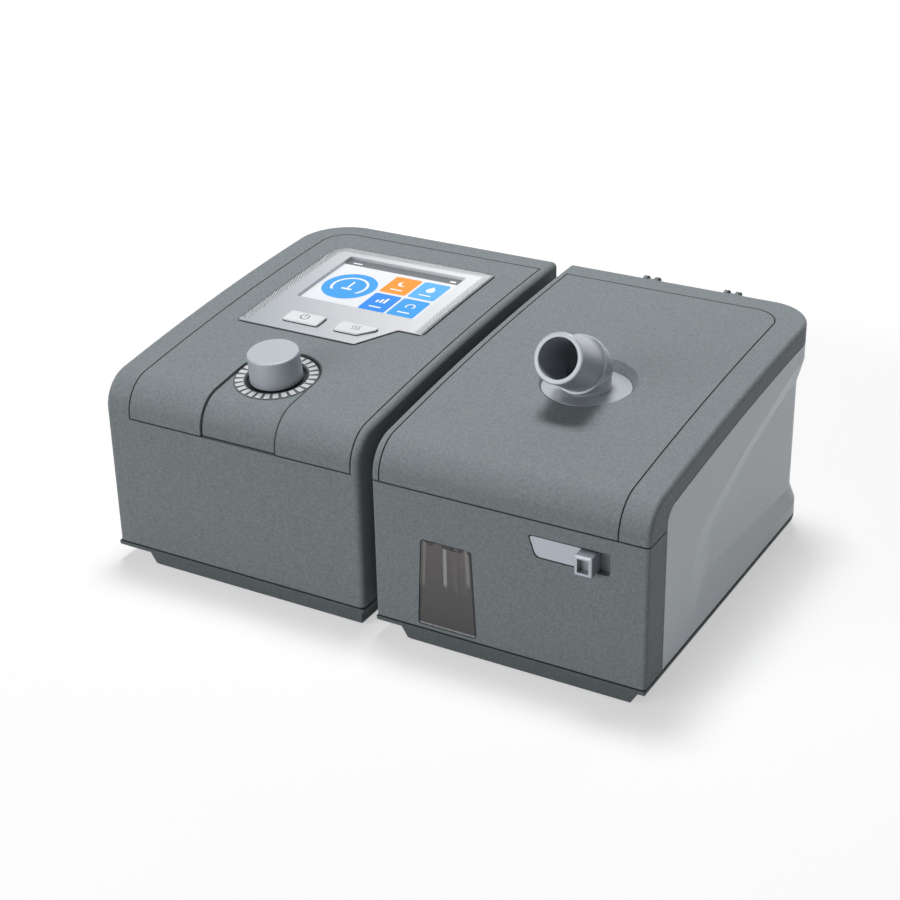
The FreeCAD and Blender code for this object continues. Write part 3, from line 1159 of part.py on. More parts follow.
def hinge_ears():
    """Pairs of ears that rise behind the lid to the hinge axis."""
    rim = top_z(BACK_Y) - LID_SKIRT
    top = HINGE_HEIGHT + HINGE_RADIUS
    points = [(BACK_Y - WALL / 2, rim - EAR_ROOT), (AXIS_Y + HINGE_RADIUS, rim - EAR_ROOT / 3),
              (AXIS_Y + HINGE_RADIUS, top), (AXIS_Y - HINGE_RADIUS, top),
              (AXIS_Y - HINGE_RADIUS, rim - SEAM), (BACK_Y - WALL / 2, rim - SEAM)]
    radii = [0, HINGE_RADIUS, HINGE_RADIUS, HINGE_RADIUS, 0, 0]
    ears = []
    for x in HINGE_XS:
        for side in (-EAR_SPACING / 2, EAR_SPACING / 2):
            ear = side_prism(points, radii, x + side - EAR_THICKNESS / 2, x + side + EAR_THICKNESS / 2)
            hole = rod(PIN_RADIUS + RUNNING, (x - FAR, AXIS_Y, HINGE_HEIGHT),
                       (x + FAR, AXIS_Y, HINGE_HEIGHT))
            ears.append(ear.cut(hole))
    return ears


def hinge_pins():
    half = (EAR_SPACING + EAR_THICKNESS) / 2
    return Part.makeCompound([rod(PIN_RADIUS, (x - half, AXIS_Y, HINGE_HEIGHT),
                                  (x + half, AXIS_Y, HINGE_HEIGHT)) for x in HINGE_XS])


def scoop_wire(corners, x):
    """Outline of the scoop's rim or floor, up to where the back corner starts."""
    bend_y = BACK_Y - CORNER_RADIUS
    points = [V(x, bend_y, corners[0][1])] + [V(x, FRONT_Y + d, z) for d, z, _ in corners]
    points.append(V(x, bend_y, corners[-1][1]))
    return outline(points, [0] + [radius for _, _, radius in corners] + [0])


def scoop_form(shift):
    """Recess in the side panel: narrower at its floor, and led round the back corner."""
    rim_x, floor_x = HUMID_X1 - shift, HUMID_X1 - shift - SCOOP_DEPTH
    flat = Part.makeLoft([scoop_wire(SCOOP_RIM, rim_x), scoop_wire(SCOOP_FLOOR, floor_x)], True, True)
    bend_x, bend_y = HUMID_X1 - CORNER_RADIUS, BACK_Y - CORNER_RADIUS
    spots = [V(rim_x, bend_y, SCOOP_RIM[0][1]), V(floor_x, bend_y, SCOOP_FLOOR[0][1]),
             V(floor_x, bend_y, SCOOP_FLOOR[-1][1]), V(rim_x, bend_y, SCOOP_RIM[-1][1])]
    section = Part.Face(Part.makePolygon(spots + spots[:1]))
    turn = section.revolve(V(bend_x, bend_y, 0), UP, 90)
    section.rotate(V(bend_x, bend_y, 0), UP, 90)
    return fused([flat, turn, section.extrude(V(-2 * SIDE_WRAP, 0, 0))])


def side_panel():
    """Light panel over the right side, with a large shallow scoop moulded into it."""
    band = side_band(SIDE_SKIN, -SEAM, TRAY_TOP + SEAM)
    inner = scoop_form(SIDE_SKIN).common(case_plan(HUMID, 0.0, 0, FAR)).common(
        side_zone(-SEAM, TRAY_TOP + SEAM))
    pads = [box(HUMID_X1 - SIDE_DEPTH, HUMID_X1 - SIDE_SKIN / 2, FRONT_Y + d - PAD_SIZE / 2,
                FRONT_Y + d + PAD_SIZE / 2, z - PAD_SIZE / 2, z + PAD_SIZE / 2)
            for d, z in SIDE_PADS]
    return fused([band, inner] + pads).common(body_limit(0.0)).cut(scoop_form(0.0))


def window_form(grow, y0, y1):
    """Prism over the window's tapered outline."""
    x = HUMID_X0 + WINDOW_CENTRE
    points = [(x - WINDOW_HALF_BOTTOM - grow, WINDOW_BOTTOM - grow),
              (x + WINDOW_HALF_BOTTOM + grow, WINDOW_BOTTOM - grow),
              (x + WINDOW_HALF_TOP + grow, WINDOW_TOP + grow),
              (x - WINDOW_HALF_TOP - grow, WINDOW_TOP + grow)]
    return front_prism(points, [WINDOW_CORNER] * 4, y0, y1)


def window():
    """Smoky pane in the front wall, with a flange behind the wall."""
    pane = window_form(0.0, FRONT_Y + FIT, FRONT_Y + WALL)
    flange = window_form(WINDOW_FLANGE, FRONT_Y + WALL, FRONT_Y + WALL + WINDOW_PLATE)
    return fused([pane, flange])


# ------------------------------------------------------------------ latch
def latch_outline(x0, x1, z0, z1, slant):
    return [(x0 + slant, z0), (x1, z0), (x1, z1), (x0, z1)]


def latch_pocket():
    x0 = HUMID_X0 + LATCH_LEFT
    points = latch_outline(x0, x0 + LATCH_LENGTH, LATCH_BOTTOM, LATCH_BOTTOM + LATCH_HEIGHT,
                           LATCH_SLANT)
    return front_prism(points, [LATCH_CORNER, 1, 1, 1], FRONT_Y - 1, FRONT_Y + LATCH_POCKET)


def latch_backing():
    """Wall behind the latch's pocket."""
    x0 = HUMID_X0 + LATCH_LEFT
    return box(x0 - WALL, x0 + LATCH_LENGTH + WALL, FRONT_Y + WALL / 2,
               FRONT_Y + LATCH_POCKET + LIP_WALL, LATCH_BOTTOM - WALL,
               LATCH_BOTTOM + LATCH_HEIGHT + WALL)


def latch_slider():
    """Sliding bar with a hollow thumb block."""
    x0 = HUMID_X0 + LATCH_LEFT + SEAM
    x1 = x0 + LATCH_LENGTH - LATCH_TRAVEL - 2 * SEAM
    z0, z1 = LATCH_BOTTOM + SEAM, LATCH_BOTTOM + LATCH_HEIGHT - SEAM
    bar = front_prism(latch_outline(x0, x1, z0, z1, LATCH_SLANT), [LATCH_CORNER, 1, 1, 1],
                      FRONT_Y + LATCH_POCKET - LATCH_BAR, FRONT_Y + LATCH_POCKET)
    block = box(x1 - BLOCK_WIDTH, x1, FRONT_Y - BLOCK_PROUD, FRONT_Y + LATCH_POCKET - 1, z0, z1)
    block = block.makeFillet(BLOCK_EDGE, [e for e in block.Edges if e.CenterOfMass.y < FRONT_Y])
    hollow = box(x1 - BLOCK_WIDTH + BLOCK_FRAME, x1 - BLOCK_FRAME, FRONT_Y - BLOCK_PROUD - 1,
                 FRONT_Y - BLOCK_PROUD + BLOCK_HOLLOW, z0 + BLOCK_FRAME, z1 - BLOCK_FRAME)
    return fused([bar, block]).cut(hollow)


# ------------------------------------------------------------------ heater and water chamber
def heater_frame():
    """Open-bottomed frame on the tray that holds the heater plate under the chamber."""
    left, right, flare_left, flare_right, y0, y1 = HUMID_PLINTH
    side = WALL + FRAME_INSET
    x0, x1 = left + flare_left + side, right - flare_right - side
    ya, yb = y0 + side, FRONT_Y + HEATER_FROM_FRONT + HEATER_RADIUS + side
    z0 = PLINTH_BOTTOM + WALL
    wall = CHAMBER_WALL
    body = box(x0, x1, ya, yb, z0, HEATER_TOP)
    body = body.cut(box(x0 + wall, x1 - wall, ya + wall, yb - wall, z0, HEATER_TOP - wall))
    seat = HEATER_TOP - HEATER_THICKNESS
    body = body.fuse(rod(HEATER_RADIUS + wall, (HEATER_X, HEATER_Y, seat - wall),
                         (HEATER_X, HEATER_Y, HEATER_TOP)))
    body = body.cut(rod(HEATER_RADIUS + FIT, (HEATER_X, HEATER_Y, seat), (HEATER_X, HEATER_Y, FAR)))
    return body.cut(rod(HEATER_RADIUS - 2 * wall, (HEATER_X, HEATER_Y, z0),
                        (HEATER_X, HEATER_Y, FAR))).removeSplitter()


def heater_plate():
    low = HEATER_TOP - HEATER_THICKNESS
    return rod(HEATER_RADIUS, (HEATER_X, HEATER_Y, low), (HEATER_X, HEATER_Y, HEATER_TOP))


def chamber_box(inset, z0, z1):
    y0 = FRONT_Y + CHAMBER_FRONT
    radius = CHAMBER_CORNER - inset
    return plan_box(CHAMBER_X0 + inset, CHAMBER_X1 - inset, y0 + inset, y0 + CHAMBER_LENGTH - inset,
                    z0, z1, [radius] * 4)


def chamber_tub():
    """Clear water tub with a hole for its metal plate and an air port in its left wall."""
    body = chamber_box(0.0, HEATER_TOP, CHAMBER_TOP)
    body = body.cut(chamber_box(CHAMBER_WALL, HEATER_TOP + CHAMBER_WALL, FAR))
    body = body.cut(rod(PLATE_RADIUS - PLATE_RIM, (HEATER_X, HEATER_Y, 0), (HEATER_X, HEATER_Y, FAR)))
    body = body.cut(rod(PLATE_RADIUS + FIT, (HEATER_X, HEATER_Y, 0),
                        (HEATER_X, HEATER_Y, HEATER_TOP + PLATE_THICKNESS)))
    return body.cut(rod(PORT_BORE, (CHAMBER_X0 - 1, PORT_Y, PORT_HEIGHT),
                        (CHAMBER_X0 + 2 * CHAMBER_WALL, PORT_Y, PORT_HEIGHT)))


def chamber_plate():
    return rod(PLATE_RADIUS, (HEATER_X, HEATER_Y, HEATER_TOP),
               (HEATER_X, HEATER_Y, HEATER_TOP + PLATE_THICKNESS))


def chamber_seal():
    return chamber_box(0.0, CHAMBER_TOP, CHAMBER_TOP + CHAMBER_SEAL).cut(
        chamber_box(CHAMBER_WALL, 0, FAR))


def chamber_lid():
    """Clear cover of the tub with the outlet port under the lid's throat."""
    low = CHAMBER_TOP + CHAMBER_SEAL
    port = (OUTLET_X, OUTLET_Y)
    body = chamber_box(0.0, low, low + CHAMBER_LID)
    body = body.fuse(rod(THROAT_BORE + THROAT_WALL, (*port, low), (*port, PORT_TOP)))
    return body.cut(rod(THROAT_BORE, (*port, 0), (*port, FAR))).removeSplitter()


def inlet_spigot():
    """Air tube from the main unit, flanged on the inside of the humidifier's wall."""
    outer = PORT_BORE + SPIGOT_WALL
    x0, x1 = MAIN_X1 - SPIGOT_ENTRY, HUMID_X0 + WALL + SPIGOT_WALL
    body = fused([rod(outer, (x0, PORT_Y, PORT_HEIGHT), (x1, PORT_Y, PORT_HEIGHT)),
                  rod(outer + SPIGOT_WALL, (x1 - SPIGOT_WALL, PORT_Y, PORT_HEIGHT),
                      (x1, PORT_Y, PORT_HEIGHT))])
    return body.cut(rod(PORT_BORE, (x0 - 1, PORT_Y, PORT_HEIGHT), (x1 + 1, PORT_Y, PORT_HEIGHT)))


def chamber_port_seal():
    """Rubber ring between the spigot's flange and the tub."""
    return ring(PORT_BORE + SPIGOT_WALL, PORT_BORE,
                (HUMID_X0 + WALL + SPIGOT_WALL, PORT_Y, PORT_HEIGHT), (CHAMBER_X0, PORT_Y, PORT_HEIGHT))


# ------------------------------------------------------------------ lid
def lid_frame():
    """Rim and skirt of the lid, with the panel's ledge, liner posts and hinge knuckles."""
    body = case_form(HUMID, TRAY_TOP).cut(body_limit(SEAM))
    body = body.cut(case_room(HUMID, LID_SEAM, 0))
    body = let_in(body, HUMID, LID_SEAM)
    return fused([body] + lid_posts() + hinge_knuckles())


def lid_posts():
    """Posts from the lid's roof down to the liner."""
    x0, x1 = HUMID_X0 + WALL + LID_POST, HUMID_X1 - WALL - LID_POST
    keep = under_profile(HUMID_X0, HUMID_X1, FRONT_Y + ROOF, FRONT_RADIUS - ROOF, ROOF - FIT, 0)
    keep = keep.cut(under_profile(HUMID_X0 - 1, HUMID_X1 + 1, FRONT_Y + LINER_DROP,
                                  FRONT_RADIUS - LINER_DROP, LINER_DROP, -1))
    return [rod(LID_POST, (x, FRONT_Y + d, 0), (x, FRONT_Y + d, FAR)).common(keep)
            for x in (x0, x1) for d in POSTS_FROM_FRONT]


def hinge_knuckles():
    """Knuckles of the lid between the ears of the body."""
    width = EAR_SPACING - EAR_THICKNESS - 2 * EAR_GAP
    radius = KNUCKLE_RADIUS
    low, high = HINGE_HEIGHT - radius, HINGE_HEIGHT + radius
    points = [(BACK_Y - WALL / 2, low), (AXIS_Y + radius, low),
              (AXIS_Y + radius, high), (BACK_Y - WALL / 2, high)]
    knuckles = []
    for x in HINGE_XS:
        body = side_prism(points, [0, radius, radius, 0], x - width / 2, x + width / 2)
        knuckles.append(body.cut(rod(PIN_RADIUS + RUNNING, (x - width, AXIS_Y, HINGE_HEIGHT),
                                     (x + width, AXIS_Y, HINGE_HEIGHT))))
    return knuckles


def lid_panel():
    """Curved top of the lid with the dish round the outlet."""
    body = panel_sheet(HUMID, LID_SEAM + SEAM, 0.0, 0.0, PANEL_THICKNESS)
    floor = SEAT_HEIGHT - SEAT_THICKNESS
    under = under_profile(HUMID_X0, HUMID_X1, FRONT_Y, FRONT_RADIUS, 0.0, 0)
    body = fused([body, dish_form(SEAT_RADIUS + DISH_WALL, floor - DISH_FLOOR).common(under)])
    body = body.cut(dish_form(SEAT_RADIUS + FIT, floor))
    return body.cut(rod(STUB_RADIUS + 1, (OUTLET_X, OUTLET_Y, 0), (OUTLET_X, OUTLET_Y, FAR)))


def dish_form(radius, low):
    """Round pit up to the seat's face, above it a wall that spreads, most towards the back."""
    rise = BACK_HEIGHT - SEAT_HEIGHT
    pit = rod(radius, (OUTLET_X, OUTLET_Y, low), (OUTLET_X, OUTLET_Y, SEAT_HEIGHT))
    rings = [Part.Wire(Part.makeCircle(radius + DISH_SPREAD * up,
                                       V(OUTLET_X, OUTLET_Y + DISH_LEAN * up, SEAT_HEIGHT + up)))
             for up in (0, rise)]
    return fused([pit, Part.makeLoft(rings, True, True)])


def lid_liner():
    """Inner wall of the lid with the cup and throat below the outlet."""
    sheet = skin(HUMID_X0, HUMID_X1, FRONT_Y, LINER_DROP, LINER_DROP + LINER_THICKNESS, LINER_FRONT)
    sheet = sheet.common(case_plan(HUMID, WALL + FIT, 0, FAR))
    centre = (OUTLET_X, OUTLET_Y)
    sheet = sheet.cut(rod(SEAT_RADIUS + DISH_WALL + FIT, (*centre, CUP_TOP), (*centre, FAR)))
    cup = rod(CUP_BORE + CUP_WALL, (*centre, CUP_LOW), (*centre, CUP_TOP))
    tube = rod(THROAT_BORE + THROAT_WALL, (*centre, THROAT_LOW), (*centre, CUP_LOW + 1))
    body = fused([sheet, cup, tube])
    body = body.cut(rod(CUP_BORE, (*centre, CUP_LOW + CUP_FLOOR), (*centre, FAR)))
    return body.cut(rod(THROAT_BORE, (*centre, 0), (*centre, FAR)))


def lid_gasket():
    return ring(THROAT_BORE + THROAT_WALL, THROAT_BORE, (OUTLET_X, OUTLET_Y, PORT_TOP),
                (OUTLET_X, OUTLET_Y, PORT_TOP + GASKET))


# ------------------------------------------------------------------ outlet
def outlet_seat():
    """Light disc in the dish, the elbow's bearing."""
    return ring(SEAT_RADIUS, STUB_RADIUS + RUNNING, (OUTLET_X, OUTLET_Y, SEAT_HEIGHT - SEAT_THICKNESS),
                (OUTLET_X, OUTLET_Y, SEAT_HEIGHT))


def tip_point(distance):
    """Point on the elbow's tip axis, from the bend towards the mouth."""
    angle = math.radians(TIP_ANGLE)
    return (OUTLET_X, OUTLET_Y - distance * math.cos(angle), BEND_HEIGHT + distance * math.sin(angle))


def mouth_land():
    """Straight length at the mouth, its rim rounded."""
    start = tip_point(TIP_LENGTH - TIP_LAND)
    body = rod(TIP_RADIUS, start, tip_point(TIP_LENGTH))
    rim = [edge for edge in body.Edges if edge.BoundBox.YMax < start[1]
           and (edge.CenterOfMass - V(*tip_point(TIP_LENGTH))).Length < MOUTH_ROUND]
    return body.makeFillet(MOUTH_ROUND, rim)


def elbow():
    """Swivel elbow: neck, round bend, collar and the conical connector."""
    bend = tip_point(0)
    neck_low = (OUTLET_X, OUTLET_Y, SEAT_HEIGHT - NECK_DEPTH)
    collar = TIP_LENGTH - COLLAR_FROM_MOUTH
    outside = fused([rod(STUB_RADIUS, neck_low, bend),
                     Part.makeSphere(BEND_RADIUS, V(*bend)),
                     rod(BEND_RADIUS, bend, tip_point(collar)),
                     rod(COLLAR_RADIUS, tip_point(collar - COLLAR_LENGTH), tip_point(collar)),
                     cone(TIP_RADIUS + TIP_TAPER, TIP_RADIUS, tip_point(collar),
                          tip_point(TIP_LENGTH - TIP_LAND)),
                     mouth_land()])
    inside = fused([rod(TUBE_BORE, (OUTLET_X, OUTLET_Y, 0), bend),
                    Part.makeSphere(TUBE_BORE, V(*bend)),
                    rod(TUBE_BORE, bend, tip_point(TIP_LENGTH + 1))])
    return outside.cut(inside)


def elbow_ring():
    """Snap ring below the dish that keeps the elbow in the lid."""
    high = SEAT_HEIGHT - SEAT_THICKNESS - DISH_FLOOR - THROAT_GAP
    return ring(SNAP_RADIUS, STUB_RADIUS, (OUTLET_X, OUTLET_Y, high - SNAP_HEIGHT),
                (OUTLET_X, OUTLET_Y, high))


PARTS = {
    "main_base": main_base(),
    "main_feet": feet(MAIN_PLINTH),
    "main_housing": main_housing(),
    "main_screws": case_screws(MAIN),
    "top_panel": top_panel(),
    "dial_tick_ring": dial_tick_ring(),
    "encoder_body": encoder_body(),
    "encoder_spindle": encoder_spindle(),
    "knob": knob(),
    "display_bezel": display_bezel(),
    "display_window": display_window(),
    "lcd_module": lcd_module(),
    "lcd_carrier": lcd_carrier(),
    "control_board": control_board(),
    "button_switches": button_switches(),
    "power_button": button_piece(POWER_BUTTON),
    "humidity_button": button_piece(HUMIDITY_BUTTON),
    "main_board": main_board(),
    "volute_base": volute_base(),
    "volute_cover": volute_cover(),
    "impeller": impeller(),
    "motor_shaft": motor_shaft(),
    "blower_motor": blower_motor(),
    "blower_mounts": blower_mounts(),
    "port_seal": port_seal(),
    "inlet_filter": inlet_filter(),
    "filter_cover": filter_cover(),
    "power_inlet": power_inlet(),
    "humidifier_base": humidifier_base(),
    "humidifier_feet": feet(HUMID_PLINTH),
    "humidifier_housing": humidifier_housing(),
    "humidifier_screws": case_screws(HUMID),
    "side_panel": side_panel(),
    "chamber_window": window(),
    "latch_slider": latch_slider(),
    "hinge_pins": hinge_pins(),
    "heater_frame": heater_frame(),
    "heater_plate": heater_plate(),
    "chamber_tub": chamber_tub(),
    "chamber_plate": chamber_plate(),
    "chamber_seal": chamber_seal(),
    "chamber_lid": chamber_lid(),
    "inlet_spigot": inlet_spigot(),
    "chamber_port_seal": chamber_port_seal(),
    "lid_frame": lid_frame(),
    "lid_panel": lid_panel(),
    "lid_liner": lid_liner(),
    "lid_gasket": lid_gasket(),
    "outlet_seat": outlet_seat(),
    "elbow": elbow(),
    "elbow_ring": elbow_ring(),
}

for name, shape in PARTS.items():
    shape.exportStep("parts/" + name + ".step")
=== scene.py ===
import bpy
import math
from mathutils import Matrix, Vector


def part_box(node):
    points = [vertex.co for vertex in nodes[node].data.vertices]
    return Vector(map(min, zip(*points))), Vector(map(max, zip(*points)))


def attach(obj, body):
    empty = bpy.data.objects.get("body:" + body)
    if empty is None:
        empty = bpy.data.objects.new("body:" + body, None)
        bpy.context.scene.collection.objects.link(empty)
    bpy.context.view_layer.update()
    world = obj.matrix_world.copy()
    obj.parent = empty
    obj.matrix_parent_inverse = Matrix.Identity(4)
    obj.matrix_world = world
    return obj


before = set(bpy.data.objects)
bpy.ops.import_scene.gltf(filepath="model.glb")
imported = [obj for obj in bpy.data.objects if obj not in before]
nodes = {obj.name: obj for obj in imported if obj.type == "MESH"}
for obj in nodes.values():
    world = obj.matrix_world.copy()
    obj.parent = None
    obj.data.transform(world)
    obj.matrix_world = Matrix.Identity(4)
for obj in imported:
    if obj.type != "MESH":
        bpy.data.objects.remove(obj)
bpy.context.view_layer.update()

# ------------------------------------------------------------------ table top and room
# A plain white table under four soft lamps: one overhead, a second at the machine's front left
# and weak ones behind it and at its right. The camera looks down at the humidifier's front corner.
TABLE_HALF = 4

# Shares of full white: the table's paint, its glow near the machine, and the room's own light.
TABLE_PAINT, TABLE_GLOW, ROOM_LIGHT = 0.56, 0.515, 0.09

# The glow starts to grow at the first distance from the machine's middle and is full at the second.
CLEAN_RADIUS, WHITE_RADIUS = 0.30, 1.00
LAMP_AIM = Vector((0, 0, 0.05))
CAMERA_PLACE = (0.38524, -0.67924, 0.43685)
AZIMUTH, ELEVATION, ROLL = math.radians(30.157), math.radians(26.61), math.radians(-1.177)
SENSOR_WIDTH, IMAGE_PIXELS, FOCAL_PIXELS = 36.0, 900, 1892.8


class Value:
    """One output of a node tree; Python's operators on it add Math nodes."""

    def __init__(self, maker, socket):
        self.maker, self.socket = maker, socket

    def math(self, operation, *others):
        return self.maker.add("ShaderNodeMath", {"operation": operation},
                              dict(enumerate((self, *others))))

    def __add__(self, other): return self.math("ADD", other)
    def __radd__(self, other): return self.math("ADD", other)
    def __sub__(self, other): return self.math("SUBTRACT", other)
    def __rsub__(self, other): return self.math("MULTIPLY_ADD", -1.0, other)
    def __mul__(self, other): return self.math("MULTIPLY", other)
    def __rmul__(self, other): return self.math("MULTIPLY", other)
    def __truediv__(self, other): return self.math("DIVIDE", other)
    def __rtruediv__(self, other): return self.math("POWER", -1.0) * other
    def __lt__(self, other): return self.math("LESS_THAN", other)
    def __gt__(self, other): return self.math("GREATER_THAN", other)
    def __abs__(self): return self.math("ABSOLUTE")
    def larger(self, other): return self.math("MAXIMUM", other)
    def smaller(self, other): return self.math("MINIMUM", other)
    def root(self): return self.larger(0.0).math("SQRT")
    def clipped(self): return self.larger(0.0).smaller(1.0)

    def ramp(self, start, end):
        """0 at start and 1 at end, rising or falling evenly between them, level beyond."""
        return ((self - start) / (end - start)).clipped()

    def between(self, low, high):
        """Low where this is 0 and high where it is 1."""
        return self * (high - low) + low


def distance(x, y):
    return (x * x + y * y).root()


class Maker:
    """Builds a node tree: one call adds a node, sets it and links or fills its sockets."""

    def __init__(self, tree):
        self.tree = tree
        tree.nodes.clear()

    def add(self, kind, settings=None, inputs=None, out=0):
        node = self.tree.nodes.new(kind)
        for key, value in (settings or {}).items():
            setattr(node, key, value)
        for key, value in (inputs or {}).items():
            if isinstance(value, Value):
                self.tree.links.new(value.socket, node.inputs[key])
            else:
                node.inputs[key].default_value = value
        return Value(self, node.outputs[out] if node.outputs else None)

    def outputs(self, value):
        """Every output of the node that a value comes from."""
        return [Value(self, socket) for socket in value.socket.node.outputs]

    def parts(self, vector):
        """The three numbers of a vector."""
        return self.outputs(self.add("ShaderNodeSeparateXYZ", inputs={"Vector": vector}))

    def mixed(self, factor, first, second):
        """The first colour at 0 and the second at 1; a Mix node has them at sockets 6 and 7."""
        return self.add("ShaderNodeMix", {"data_type": "RGBA"}, {0: factor, 6: first, 7: second}, 2)

    def shown(self):
        """1 for the rays that show the background: direct, mirrored or through glass."""
        rays = self.add("ShaderNodeLightPath").socket.node.outputs
        direct, mirrored, through = [Value(self, rays[kind]) for kind in
                                     ("Is Camera Ray", "Is Glossy Ray", "Is Transmission Ray")]
        return (direct + mirrored + through).smaller(1.0)


class Finish(Maker):
    """A material under construction."""

    def __init__(self, name):
        self.material = bpy.data.materials.new(name)
        self.material.use_nodes = True
        super().__init__(self.material.node_tree)

    def spot(self):
        """The place on the machine that is being coloured, in metres."""
        return self.add("ShaderNodeTexCoord", out="Object")

    def noise(self, size, detail=2.0, where=None):
        """Soft noise from 0 to 1, its grains about as large as the size in metres."""
        return self.add("ShaderNodeTexNoise",
                        inputs={"Vector": where or self.spot(), "Scale": 1 / size, "Detail": detail})

    def bump(self, height, depth, edge=0.0):
        """Normal of a face with this relief on it and with its edges rounded to a radius."""
        inputs = {"Height": height, "Strength": 1.0, "Distance": depth}
        if edge:
            inputs["Normal"] = self.add("ShaderNodeBevel", {"samples": 4}, {"Radius": edge})
        return self.add("ShaderNodeBump", inputs=inputs)

    def surface(self, **sockets):
        """Principled surface; its sockets are named as words joined by underscores."""
        return self.add("ShaderNodeBsdfPrincipled",
                        inputs={key.replace("_", " "): value for key, value in sockets.items()})

    def done(self, shader):
        self.add("ShaderNodeOutputMaterial", inputs={"Surface": shader})
        return self.material


def tone(red, green, blue):
    """Linear colour of an eight-bit screen colour."""
    return tuple(((part / 255 + 0.055) / 1.055) ** 2.4 for part in (red, green, blue)) + (1.0,)


def object_of(name, mesh):
    piece = bpy.data.objects.new(name, mesh)
    bpy.context.scene.collection.objects.link(piece)
    return piece


def white_table_top():
    """White paint that keeps its shadows near the machine and runs out into plain white."""
    finish = Finish("white table top")
    x, y, _ = finish.parts(finish.spot())
    white = distance(x, y).ramp(CLEAN_RADIUS, WHITE_RADIUS)
    paint = finish.add("ShaderNodeBsdfDiffuse", inputs={"Color": (TABLE_PAINT,) * 3 + (1,)})
    glow = finish.add("ShaderNodeEmission",
                      inputs={"Strength": finish.shown() * white.between(TABLE_GLOW, 1.0)})
    return finish.done(finish.add("ShaderNodeAddShader", inputs={0: paint, 1: glow}))


def flat_table():
    mesh = bpy.data.meshes.new("table_top")
    corners = [(-TABLE_HALF, -TABLE_HALF, 0), (TABLE_HALF, -TABLE_HALF, 0),
               (TABLE_HALF, TABLE_HALF, 0), (-TABLE_HALF, TABLE_HALF, 0)]
    mesh.from_pydata(corners, [], [(0, 1, 2, 3)])
    mesh.materials.append(white_table_top())
    return mesh


table_mesh = flat_table()
object_of("table_top", table_mesh)


def white_room():
    world = bpy.data.worlds.new("room")
    world.use_nodes = True
    sky = Maker(world.node_tree)
    strength = sky.shown().between(ROOM_LIGHT, 1.0)
    white = sky.add("ShaderNodeBackground", inputs={"Color": (1, 1, 1, 1), "Strength": strength})
    sky.add("ShaderNodeOutputWorld", inputs={"Surface": white})
    return world


bpy.context.scene.world = white_room()


def soft_lamp(name, place, size, watts):
    """A flat lamp of a width and a height in metres, turned towards the machine."""
    lamp = bpy.data.lights.new(name, "AREA")
    lamp.shape = "RECTANGLE"
    lamp.size, lamp.size_y = size
    lamp.energy = watts
    turn = (LAMP_AIM - Vector(place)).to_track_quat("-Z", "Y").to_matrix().to_4x4()
    object_of(name, lamp).matrix_world = Matrix.Translation(place) @ turn


soft_lamp("overhead lamp", (-0.17, 0.22, 1.45), (0.4, 0.4), 14.2)
soft_lamp("front left lamp", (-0.8, -1.65, 0.62), (1.4, 0.9), 15.5)
soft_lamp("back lamp", (0.2, 1.9, 0.95), (1.2, 0.7), 4)
soft_lamp("right lamp", (1.7, -0.6, 0.55), (1.0, 0.8), 0.5)


def turned_camera():
    """Turned by azimuth and elevation towards the machine, then rolled a little."""
    back = Vector((math.sin(AZIMUTH) * math.cos(ELEVATION),
                   -math.cos(AZIMUTH) * math.cos(ELEVATION), math.sin(ELEVATION)))
    level = Vector((math.cos(AZIMUTH), math.sin(AZIMUTH), 0))
    upright = back.cross(level)
    right = level * math.cos(ROLL) + upright * math.sin(ROLL)
    up = upright * math.cos(ROLL) - level * math.sin(ROLL)
    camera_data = bpy.data.cameras.new("camera")
    camera_data.sensor_width = SENSOR_WIDTH
    camera_data.lens = FOCAL_PIXELS / IMAGE_PIXELS * SENSOR_WIDTH
    camera = object_of("camera", camera_data)
    camera.matrix_world = (Matrix.Translation(CAMERA_PLACE)
                           @ Matrix((right, up, back)).transposed().to_4x4())
    return camera


bpy.context.scene.camera = turned_camera()
bpy.context.scene.view_settings.view_transform = "Standard"

# ------------------------------------------------------------------ case mouldings
# Both housings and the lid are moulded in dark blue-grey ABS. Their moulds are spark-eroded, so
# that every outer face has a fine matt grain, and the mouldings' edges are barely rounded.
MM = 0.001
CASE_TONE = tone(131, 138, 141)
CASE_GRAIN, CASE_RELIEF, MOULDED_EDGE = 0.5 * MM, 0.05 * MM, 0.4 * MM

# How far off a seam and an edge their painted shade shows, the openness or solidity below which it does,
# how strongly.
SEAM_REACH, SEAM_OPENNESS, SEAM_SHARE = 1.5 * MM, 1 / 1.7, 0.9
EDGE_REACH, EDGE_SOLIDITY, EDGE_SHARE = 0.4 * MM, 1 - 1 / 2.4, 0.8


def coated(material, *piece_names):
    """Gives each of these CAD pieces its one material."""
    for piece_name in piece_names:
        slots = nodes[piece_name].data.materials
        slots.clear()
        slots.append(material)


def shaded(base, factor):
    return tuple(part * factor for part in base[:3]) + (1.0,)


def mottled(finish, grain, base, least, most):
    """The base colour, times least where the grain is 0 and times most where it is 1."""
    return finish.mixed(grain, shaded(base, least), shaded(base, most))


def painted_seam_shade(finish, paint):
    """Painted shade: the paint is darker in the narrow gaps between mouldings."""
    openness = finish.add("ShaderNodeAmbientOcclusion", {"samples": 6}, {"Distance": SEAM_REACH}, "AO")
    return finish.mixed(openness.ramp(SEAM_OPENNESS, 0.0) * SEAM_SHARE, paint, tone(22, 25, 27))


def painted_edge_shade(finish, paint):
    """Painted shade: the paint is darker along the sharp edges on both sides of a seam."""
    solidity = finish.add("ShaderNodeAmbientOcclusion", {"samples": 8, "inside": True, "only_local": True},
                          {"Distance": EDGE_REACH}, "AO")
    return finish.mixed(solidity.ramp(1.0, EDGE_SOLIDITY) * EDGE_SHARE, paint, tone(30, 34, 36))


